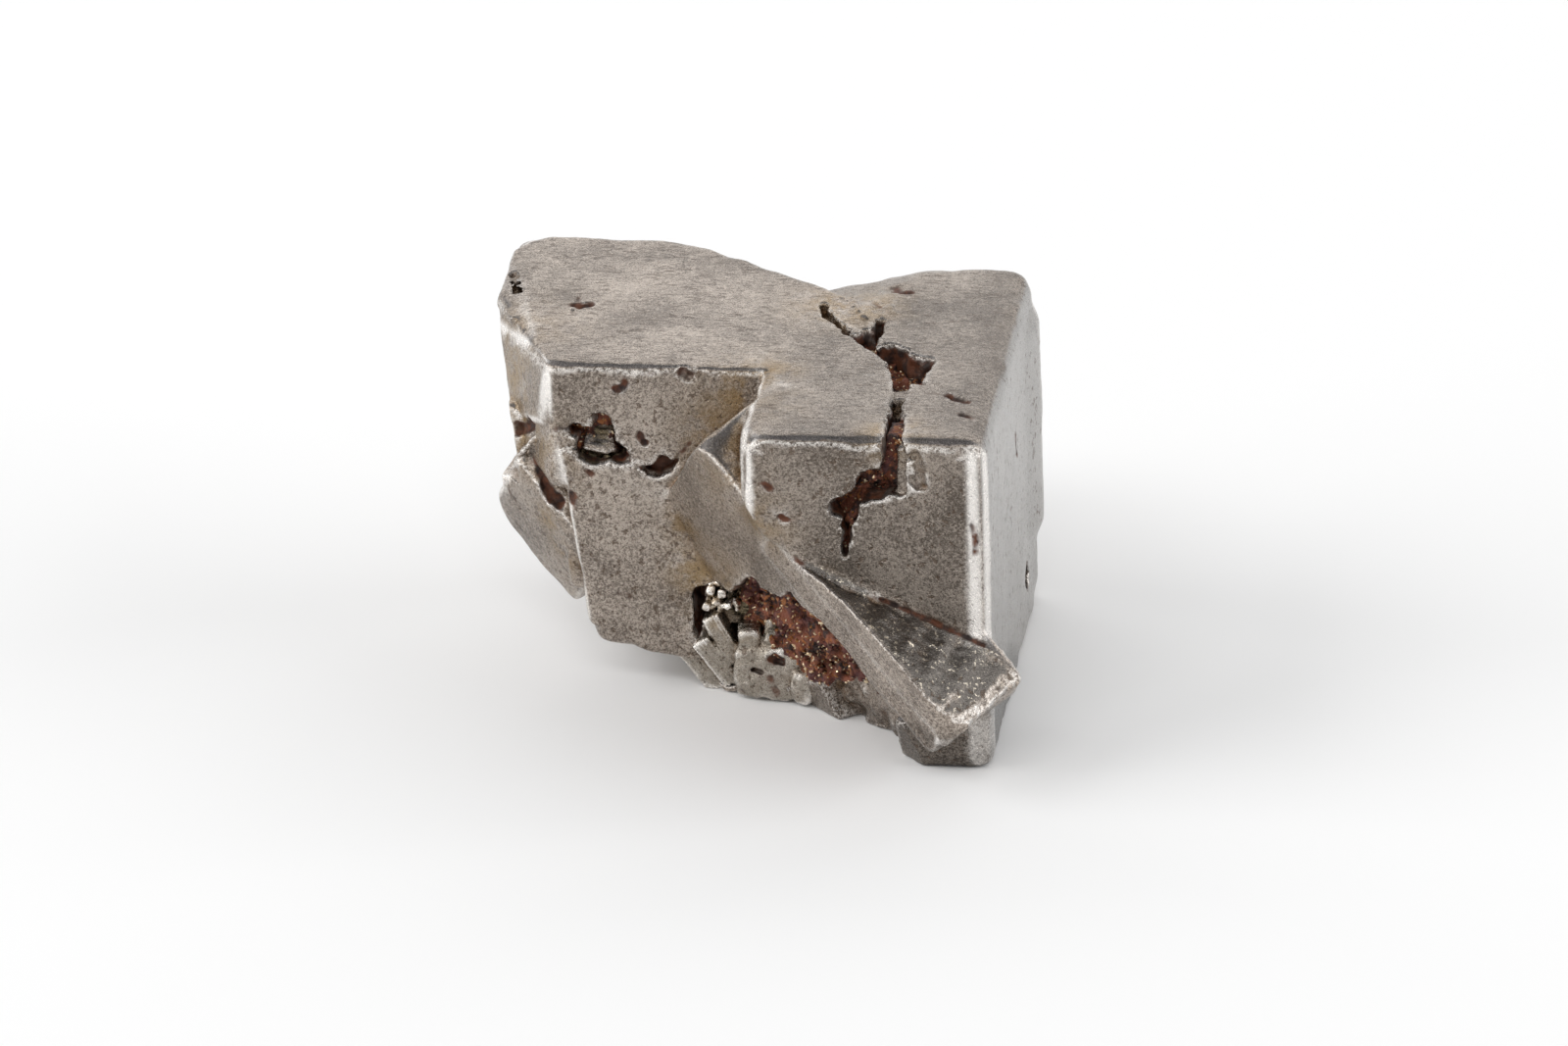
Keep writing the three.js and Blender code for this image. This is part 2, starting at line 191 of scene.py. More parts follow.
def lumps(points, size, seed):
    """Smooth random values, mostly from -1 to 1, that change over lengths of about size."""
    place = (points * np.float32(1 / size) + np.float32(0.371 * seed + 100)).astype(np.float32)
    cell = np.floor(place)
    inside = [np.ascontiguousarray((place - cell)[..., n]) for n in range(3)]
    ease = [x * x * x * (x * (x * 6 - 15) + 10) for x in inside]
    cell = cell.astype(np.uint32)
    codes = [
        [(cell[..., n] + np.uint32(side)) * np.uint32(prime) for side in (0, 1)]
        for n, prime in enumerate((73856093, 19349663, 83492791))
    ]
    total = np.zeros(points.shape[:-1], np.float32)
    for corner in itertools.product((0, 1), repeat=3):
        code = codes[0][corner[0]] ^ codes[1][corner[1]] ^ codes[2][corner[2]]
        code = (code ^ np.uint32(seed * 40503)) * np.uint32(1274126177)
        code ^= code >> np.uint32(15)
        slope = np.zeros_like(total)
        weight = np.ones_like(total)
        for n in range(3):
            steepness = ((code >> np.uint32(10 * n)) & np.uint32(1023)).astype(np.float32)
            slope += (steepness * np.float32(1 / 511.5) - 1) * (inside[n] - corner[n])
            weight *= ease[n] if corner[n] else 1 - ease[n]
        total += slope * weight
    return total * np.float32(1.6)


def crystal_faces(u, v, w, axes=np.eye(3), at=(0, 0, 0), turn=(0, 0, 0), cuts=()):
    """The flat faces of one crystal, each an outward direction and a distance from the frame's
    origin. u, v and w are its ends along its axes from the point at, turn tips it about its
    middle in degrees, and each cut is a further face with a point that it passes through."""
    a, b, c = np.radians(turn)
    tip = (
        np.array(((1, 0, 0), (0, math.cos(a), -math.sin(a)), (0, math.sin(a), math.cos(a))))
        @ np.array(((math.cos(b), 0, math.sin(b)), (0, 1, 0), (-math.sin(b), 0, math.cos(b))))
        @ np.array(((math.cos(c), -math.sin(c), 0), (math.sin(c), math.cos(c), 0), (0, 0, 1)))
    )
    ends = (u, v, w)
    middle = np.array(at, float) + sum(axes[n] * sum(ends[n]) / 2 for n in range(3))
    faces = []
    for axis, (low, high) in zip(axes, ends):
        for side in (1, -1):
            normal = side * (tip @ axis)
            faces.append((normal, normal @ middle + (high - low) / 2))
    for outward, through in cuts:
        normal = np.array(outward, float) / np.linalg.norm(outward)
        faces.append((normal, normal @ np.array(through, float)))
    reach = np.linalg.norm([(high - low) / 2 for low, high in ends]) + 0.3
    return faces, middle - reach, middle + reach


class Grid:
    """Distances from a surface at the points of a grid, and how far each point is from rust."""

    def __init__(self, low, high, step, field=None):
        self.low, self.step = np.array(low, float), step
        self.shape = tuple(int(n) for n in np.round((np.array(high) - low) / step) + 1)
        self.field = np.full(self.shape, BAND * step, np.float32) if field is None else field
        self.rust = np.full(self.shape, 1.0, np.float32)

    def near(self, low, high, reach):
        """The grid's points in a box that are within reach of the surface, as flat indices,
        and their places."""
        first = np.floor((np.array(low) - self.low) / self.step).astype(int)
        last = np.ceil((np.array(high) - self.low) / self.step).astype(int) + 1
        first, last = np.clip(first, 0, self.shape), np.clip(last, 0, self.shape)
        slices = tuple(slice(int(a), int(b)) for a, b in zip(first, last))
        found = np.nonzero(np.abs(self.field[slices]) < reach)
        cells = tuple(n + a for n, a in zip(found, first))
        places = (np.stack(cells, axis=1) * self.step + self.low).astype(np.float32)
        return cells, places

    def value(self, field, points):
        """The values of a field at points between those of the grid."""
        place = np.clip((points - self.low) / self.step, 0, np.array(field.shape) - 1.001)
        cell = place.astype(int)
        inside = place - cell
        total = np.zeros(len(points))
        for corner in itertools.product((0, 1), repeat=3):
            weight = np.prod(np.where(corner, inside, 1 - inside), axis=1)
            total += weight * field[tuple((cell + corner).T)]
        return total


def inside_faces(faces, points, wear):
    """How far outside a set of flat faces each point is, its edges rounded off by wear."""
    total = 0
    for normal, distance in faces:
        away = points @ normal.astype(np.float32) - np.float32(distance)
        total = total + np.exp(np.clip(away / wear, -40, 14))
    return wear * np.log(total)


def blurred(field, steps):
    """A field averaged with its neighbours over a few steps of the grid, smoothly."""
    reach = int(math.ceil(steps * 2.5))
    weights = np.exp(-0.5 * (np.arange(-reach, reach + 1) / steps) ** 2)
    weights /= weights.sum()
    for axis in range(3):
        padded = np.pad(field, [(reach, reach) if n == axis else (0, 0) for n in range(3)], "edge")
        mixed = np.zeros_like(field)
        for n, weight in enumerate(weights):
            cut = [slice(None)] * 3
            cut[axis] = slice(n, n + field.shape[axis])
            mixed += np.float32(weight) * padded[tuple(cut)]
        field = mixed
    return field


grid_shape = tuple(int(n) for n in np.round((GRID_HIGH - GRID_LOW) / STEP) + 1)
solid_field = distances_of(*node_shape("crystal_cluster"), GRID_LOW, grid_shape, STEP)
metal = Grid(GRID_LOW, GRID_HIGH, STEP, blurred(solid_field, 1.5))

TWIN_PLANE = np.array((1, 1, -1)) / math.sqrt(3)
TWIN = 2 * np.outer(TWIN_PLANE, TWIN_PLANE) - np.eye(3)
TOP = 9.05
FRONT = -0.1
LEFT_FRONT = 4.0
SLAB_CORNER = np.array((-7.4, 1.3, 8.1))
SLAB_NORMAL = TWIN[2]
SLAB_CUT = (SLAB_NORMAL, SLAB_CORNER - 0.03 * SLAB_NORMAL)


def on_slab(u, v, w):
    """A point given along the slab's own axes from its upper left corner."""
    return SLAB_CORNER + u * TWIN[0] + v * TWIN[1] + w * TWIN[2]


# The upper side of the slab's rim: its edge, and the seam where it meets the largest crystal
RIM_EDGE = [on_slab(u, v, w) for u, v, w in (
    (-0.4, 4.06, 0), (-0.87, 4.8, 0), (-1.1, 5.54, 0), (-1.2, 6.5, 0), (-1.32, 7.63, 0),
    (-1.22, 8.5, -0.02), (-1.0, 9.15, -0.12), (-0.75, 9.6, -0.35), (-0.5, 9.95, -0.7))]
RIM_SEAM = np.array((
    (-4.22, -0.12, 5.34), (-3.49, -0.11, 4.96), (-2.9, -0.1, 4.76), (-2.3, -0.09, 4.54),
    (-1.53, -0.08, 4.2), (-0.7, -0.06, 3.8), (0.1, -0.05, 3.45), (0.75, -0.05, 3.0),
    (1.0, -0.05, 2.65)))

# each crystal that shows: the width over which its edges are worn round, how bright it is, and
# its faces, of which the first six are its sides and the others its cuts
LARGEST, SHOULDER, FIRST_CUT = 0, 1, 6
SHOWN_CRYSTALS = [
    # the largest, at the right, and its shoulder that stands proud of the slab
    (0.13, 0.95, crystal_faces((-6.1, 0.1), (FRONT, 11.1), (0, TOP), turn=(0, 0, 1),
                              cuts=[SLAB_CUT, ((-0.25, 0.12, 1), (-3.6, 9, TOP)),
                                    ((0.75, 0, 0.66), (-0.1, 5, TOP)),
                                    ((0.75, 0.66, 0), (-0.05, 10.8, 5)),
                                    ((0.7, -0.7, 0), (-0.1, -0.02, 5)),
                                    ((-0.8, -0.45, 0.5), (-5.8, -0.1, 8.75))])),
    (0.12, 0.95, crystal_faces((-6.12, -4.0), (FRONT, 2.2), (5.4, TOP), turn=(0, 0, 1),
                              cuts=[((-0.8, -0.15, -0.58), (-5.86, -0.1, 6.75)),
                                    ((-0.7, -0.7, 0), (-5.95, -0.02, 7.5)),
                                    ((-0.5, -0.3, -0.81), (-5.2, -0.1, 5.95)),
                                    ((-0.8, -0.45, 0.5), (-5.8, -0.1, 8.75))])),
    # the flat one at the upper left
    (0.085, 1.18, crystal_faces((-13.7, -3.4), (LEFT_FRONT, 12.35), (5.4, TOP),
                              cuts=[((-4.4, -2.1, 0.3), (-13.78, 8.5, 8)),
                                    ((1.9, 2.8, 0.2), (-6.6, 10.5, TOP)),
                                    ((-0.8, 0.6, 0), (-13.2, 12.1, 8)),
                                    ((-0.75, -0.66, 0), (-11.62, 4.06, 8)),
                                    ((-0.7, -0.2, 0.65), (-13.2, 8.6, 8.85)),
                                    ((-0.5, -0.5, -0.7), (-11.5, 4.1, 7.15))])),
    # the one at the lower left
    (0.09, 1.25, crystal_faces((-12.2, -7.0), (3.95, 9.2), (1.1, 6.5), turn=(0, 7, 0),
                              cuts=[((-0.9925, 0, -0.122), (-11.3, 4, 6.22)),
                                    ((-0.75, -0.66, -0.1), (-11.2, 3.98, 5)),
                                    ((-0.6, -0.1, -1.0), (-10.62, 4, 1.75))])),
    # the twinned slab across the front and its long rim, whose upper side leans
    (0.07, 1.45, crystal_faces((-0.1, 5.2), (0, 5.2), (-2.9, -0.1), axes=TWIN, at=SLAB_CORNER,
                              cuts=[(-TWIN[0] - TWIN[1] + 0.3 * TWIN[2],
                                     on_slab(0.15, 0.15, -0.1))])),
    (0.06, 1.6, crystal_faces((-0.15, 1.0), (3.0, 9.8), (-2.9, 0), axes=TWIN, at=SLAB_CORNER,
                              cuts=[(TWIN[1] + TWIN[2] - 0.4 * TWIN[0],
                                     on_slab(0.0, 9.7, -0.05))])),
    # the blade at the far left and the thin plate above it
    (0.10, 1.15, crystal_faces((-1.6, 1.7), (-1.6, 1.9), (-3, 0), axes=TWIN, at=(-12.2, 5.8, 3.65),
                               cuts=[((-1, -0.2, -0.45), (-13.35, 6.2, 3.5)),
                                     ((-1, -0.2, 0.3), (-13.3, 6.2, 4.3))])),
    (0.04, 1.4, crystal_faces((-0.4, 0.4), (-0.9, 1.2), (-2.6, 0), axes=TWIN,
                              at=(-11.75, 5.8, 5.1))),
    # the metal between them and the flat crystal
    (0.08, 1.5, crystal_faces((-13.06, -12.0), (6.1, 9.2), (4.4, 6.9), turn=(0, 0, -9))),
]
# the upper part of the slab that stands in front of the largest crystal is taken off the solid,
# and then built again from these crystals and, below, its leaning upper side
ANY_DISTANCE = 9
CLEARED = 0.35
cells, places = metal.near((-8, -2.6, 0), (1.2, -0.1, 8), ANY_DISTANCE)
from_corner = places - SLAB_CORNER
clear = (
    (places[:, 1] < -0.2 - 0.0175 * np.abs(places[:, 0]))
    & (from_corner @ TWIN[1] > 3.6)
    & (from_corner @ TWIN[0] < 0.6)
    & (metal.field[cells] < CLEARED)
)
metal.field[tuple(n[clear] for n in cells)] = CLEARED
for wear, bright, (faces, low, high) in SHOWN_CRYSTALS:
    cells, places = metal.near(low, high, BAND * STEP - 0.02)
    width = wear * np.clip(1 + 0.6 * lumps(places, 0.9, 5), 0.45, 1.8)
    metal.field[cells] = np.minimum(metal.field[cells], inside_faces(faces, places, width))

# the left side of the flat crystal leans in towards its foot
cells, places = metal.near((-14.2, 4.5, 5.0), (-12.0, 12.0, 8.5), ANY_DISTANCE)
lean = (places - (-13.09, 7.18, 6.4)) @ (np.array((-1, -0.158, -0.12)) / 1.02)
NEARLY_SOLID = 0.15
solid = metal.field[cells] < NEARLY_SOLID
metal.field[tuple(n[solid] for n in cells)] = np.maximum(
    metal.field[cells][solid], lean[solid].astype(np.float32))

# the slab's leaning upper side: a wedge from its edge over the seam into the largest crystal
edge_to_seam = RIM_SEAM - RIM_EDGE
behind = RIM_SEAM + 0.5 * edge_to_seam / np.linalg.norm(edge_to_seam, axis=1)[:, None]
inner = np.array([on_slab(0.2, (edge - SLAB_CORNER) @ TWIN[1], -0.02) for edge in RIM_EDGE])
rails = np.concatenate((RIM_EDGE, behind, inner))
count = len(RIM_EDGE)
sides = []
for a, b in ((0, count), (count, 2 * count), (2 * count, 0)):
    for n in range(count - 1):
        sides += [(a + n, a + n + 1, b + n), (b + n, a + n + 1, b + n + 1)]
sides += [(0, count, 2 * count), (count - 1, 3 * count - 1, 2 * count - 1)]
first = np.floor((rails.min(axis=0) - 0.5 - GRID_LOW) / STEP).astype(int).clip(0)
last = np.minimum(np.ceil((rails.max(axis=0) + 0.5 - GRID_LOW) / STEP).astype(int), metal.shape)
wedge = distances_of(rails, np.array(sides), GRID_LOW + first * STEP, tuple(last - first), STEP)
slices = tuple(slice(a, b) for a, b in zip(first, last))
metal.field[slices] = np.minimum(metal.field[slices], blurred(wedge, 0.06 / STEP))

# Hollows and cracks. Each outline is drawn on the face that it opens in: start is a point on the
# face, across and along are the directions of the outline's two numbers.
U, V, W = np.eye(3)
HOLLOWS = {
    "front_crack": dict(
        start=(0, FRONT, 0), across=U, along=W, depth=1.5, fill=0.5, rust=1,
        outline=[
            (-2.4, 9.6), (-2.42, 8.18), (-2.77, 8.16), (-2.97, 8.04), (-3.23, 7.53), (-3.6, 7.37),
            (-3.78, 7.08), (-3.74, 6.94), (-3.5, 6.81), (-3.45, 6.41), (-3.51, 6.04),
            (-3.43, 5.82), (-3.26, 6.17), (-3.23, 6.58), (-3.12, 6.8), (-3.09, 7.04),
            (-2.96, 7.29), (-2.59, 7.38), (-2.11, 7.51), (-1.82, 7.54), (-1.79, 7.71),
            (-1.79, 8.53), (-1.92, 8.93), (-2.02, 9.6),
        ],
    ),
    "top_hollow": dict(
        start=(0, 0, TOP), across=U, along=V, depth=1.5, fill=0.6, rust=1,
        outline=[
            (-4.5, 6.9), (-4.35, 6.75), (-3.99, 6.5), (-3.81, 6.83), (-3.57, 6.91), (-3.62, 7.48),
            (-3.41, 7.57), (-3.31, 7.06), (-3.28, 6.49), (-3.38, 6.29), (-3.32, 5.69),
            (-3.18, 5.93), (-2.86, 5.95), (-2.57, 5.66), (-2.48, 5.41), (-2.24, 5.28),
            (-2.05, 5.2), (-1.77, 5.16), (-1.78, 4.46), (-1.9, 4.08), (-1.84, 3.46),
            (-2.43, 3.53), (-2.61, 3.39), (-2.7, 3.89), (-2.92, 4.43), (-2.93, 4.81),
            (-3.26, 5.19), (-3.53, 5.52), (-3.83, 5.87), (-4.3, 6.5),
        ],
    ),
    "under_slab": dict(
        start=SLAB_CORNER, across=TWIN[0], along=TWIN[1], depth=1.8, fill=0.55, rust=1,
        outline=[
            (5.4, 2.3), (5.04, 2.48), (4.78, 2.95), (3.9, 3.0), (3.02, 3.07), (2.69, 3.47),
            (2.9, 3.54), (2.14, 4.15), (1.33, 4.27), (1.39, 4.72), (0.98, 5.44), (1.08, 5.75),
            (0.91, 6.08), (1.06, 6.37), (1.15, 6.91), (1.29, 7.43), (1.5, 8.0), (2.7, 6.9),
            (4.6, 6.2), (6.4, 5.3), (7.3, 4.0),
        ],
    ),
    "left_hollow": dict(
        start=(0, LEFT_FRONT, 0), across=U, along=W, depth=1.1, fill=0.5, rust=1,
        outline=[
            (-11.11, 7.24), (-10.94, 7.35), (-10.7, 7.28), (-10.42, 7.29), (-10.39, 7.45),
            (-10.44, 7.62), (-10.21, 7.64), (-10.04, 7.55), (-9.92, 7.28), (-9.85, 7.03),
            (-9.76, 6.8), (-9.51, 6.73), (-9.47, 6.51), (-9.69, 6.28), (-9.95, 6.36),
            (-10.31, 6.26), (-10.51, 6.28), (-10.81, 6.43), (-10.9, 6.59), (-10.81, 6.99),
            (-11.06, 7.01),
        ],
    ),
    "cleft": dict(
        start=(0, 0, TOP), across=U, along=V, depth=0.7, rust=0.8,
        outline=[
            (-2.62, 3.6), (-2.5, 2.9), (-2.5, 2.48), (-2.48, 1.23), (-2.42, 0.2), (-2.42, -0.6),
            (-1.95, -0.6), (-2.0, 0.3), (-2.07, 0.77), (-2.07, 1.14), (-2.2, 2.24), (-2.2, 2.9),
            (-2.2, 3.6),
        ],
    ),
    "groove": dict(
        start=(0, 0, TOP), across=U, along=V, depth=0.28, rust=0.7,
        outline=[(-5.2, 8.4), (-4.97, 7.62), (-4.52, 6.98), (-4.2, 6.6), (-4.05, 6.7),
                 (-4.35, 7.05), (-4.76, 7.7), (-5.05, 8.45)],
    ),
    "below_rim": dict(
        start=SLAB_CORNER, across=TWIN[0], along=TWIN[1], depth=0.35, rust=0,
        outline=[(1.0, 6.8), (0.95, 9.3), (0.6, 11.5), (9, 11.5), (9, 5.4), (5, 5.8)],
    ),
    "under_rim": dict(
        start=SLAB_CORNER, across=TWIN[0], along=TWIN[1], depth=0.85, rust=0.4,
        outline=[(1.02, 5.9), (1.06, 6.4), (1.08, 6.9), (1.12, 7.43), (1.1, 8.0), (1.22, 8.5),
                 (1.65, 8.75), (2.2, 8.4), (3.0, 8.9), (4.5, 9.4), (6.0, 8.6), (4.6, 6.2),
                 (2.7, 6.6)],
    ),
    "left_wedge": dict(
        start=(0, LEFT_FRONT, 0), across=U, along=W, depth=0.4, rust=0.9,
        outline=[
            (-9.27, 6.24), (-8.89, 6.37), (-8.68, 6.57), (-8.56, 6.54), (-8.4, 6.39),
            (-8.23, 6.61), (-8.26, 6.45), (-8.43, 6.14), (-8.77, 6.02), (-9.05, 6.06),
        ],
    ),
    "low_crack": dict(
        start=(0, LEFT_FRONT, 0), across=U, along=W, depth=0.9, rust=0.9,
        outline=[
            (-7.99, 2.96), (-7.61, 2.92), (-7.67, 2.59), (-7.57, 2.31), (-7.71, 1.92),
            (-7.9, 1.47), (-8.02, 1.8), (-7.96, 2.22), (-8.0, 2.63),
        ],
    ),
}


def outline_distance(outline, x, y):
    """Distances from a closed outline on a plane, negative inside it."""
    nearest = np.full(x.shape, 1e9, np.float32)
    within = np.zeros(x.shape, bool)
    for (ax, ay), (bx, by) in zip(outline, outline[1:] + outline[:1]):
        ex, ey = bx - ax, by - ay
        share = np.clip(((x - ax) * ex + (y - ay) * ey) / (ex * ex + ey * ey), 0, 1)
        nearest = np.minimum(nearest, np.hypot(x - ax - share * ex, y - ay - share * ey))
        crosses = (ay > y) != (by > y)
        slope_x = ax + (y - ay) * ex / (ey if abs(ey) > 1e-9 else 1e-9)
        within ^= crosses & (x < slope_x)
    return np.where(within, -nearest, nearest)


def hollow_places(hollow, points):
    """The two outline numbers of points, and how deep below the hollow's face they are."""
    inward = -np.cross(hollow["across"], hollow["along"])
    away = points - np.array(hollow["start"], np.float32)
    frame_of_face = np.stack((hollow["across"], hollow["along"], inward), axis=1)
    placed = away @ frame_of_face.astype(np.float32)
    return placed[..., 0], placed[..., 1], placed[..., 2]


def hollow_distance(hollow, points, ragged=0.08, seed=11):
    """Distances from the ragged walls and floor of a hollow, negative in its empty space."""
    x, y, deep = hollow_places(hollow, points)
    rough = ragged * lumps(points, 0.32, seed) + 0.5 * ragged * lumps(points, 0.13, seed + 1)
    side = outline_distance(hollow["outline"], x, y) + rough + 0.06 * np.clip(deep, 0, 2)
    floor_lumps = 0.15 * lumps(points, 0.5, seed + 2) if hollow["depth"] > 0.5 else 0
    return np.maximum(side, deep - hollow["depth"] + floor_lumps)


def hollow_box(hollow, margin=0.3):
    """Two corners of a box round a hollow."""
    ends = []
    inward = -np.cross(hollow["across"], hollow["along"])
    for x, y in hollow["outline"]:
        for deep in (-0.6, hollow["depth"]):
            ends.append(
                np.array(hollow["start"])
                + x * hollow["across"] + y * hollow["along"] + deep * inward
            )
    return np.min(ends, axis=0) - margin, np.max(ends, axis=0) + margin


for hollow in HOLLOWS.values():
    cells, places = metal.near(*hollow_box(hollow), ANY_DISTANCE)
    solid = metal.field[cells] < NEARLY_SOLID
    cells, places = tuple(n[solid] for n in cells), places[solid]
    empty = hollow_distance(hollow, places)
    metal.field[cells] = np.maximum(metal.field[cells], -empty)
    if hollow["rust"]:
        deep = hollow_places(hollow, places)[2]
        stained = np.maximum(empty, 0.14 - deep) + 0.08 * (1 - hollow["rust"])
        metal.rust[cells] = np.minimum(metal.rust[cells], stained)


def rod_distance(points, a, b, width):
    """Distances from a round rod from a to b."""
    a, b = np.array(a, np.float32), np.array(b, np.float32)
    share = np.clip((points - a) @ (b - a) / max(float((b - a) @ (b - a)), 1e-6), 0, 1)
    return np.linalg.norm(points - a - share[:, None] * (b - a), axis=1) - width


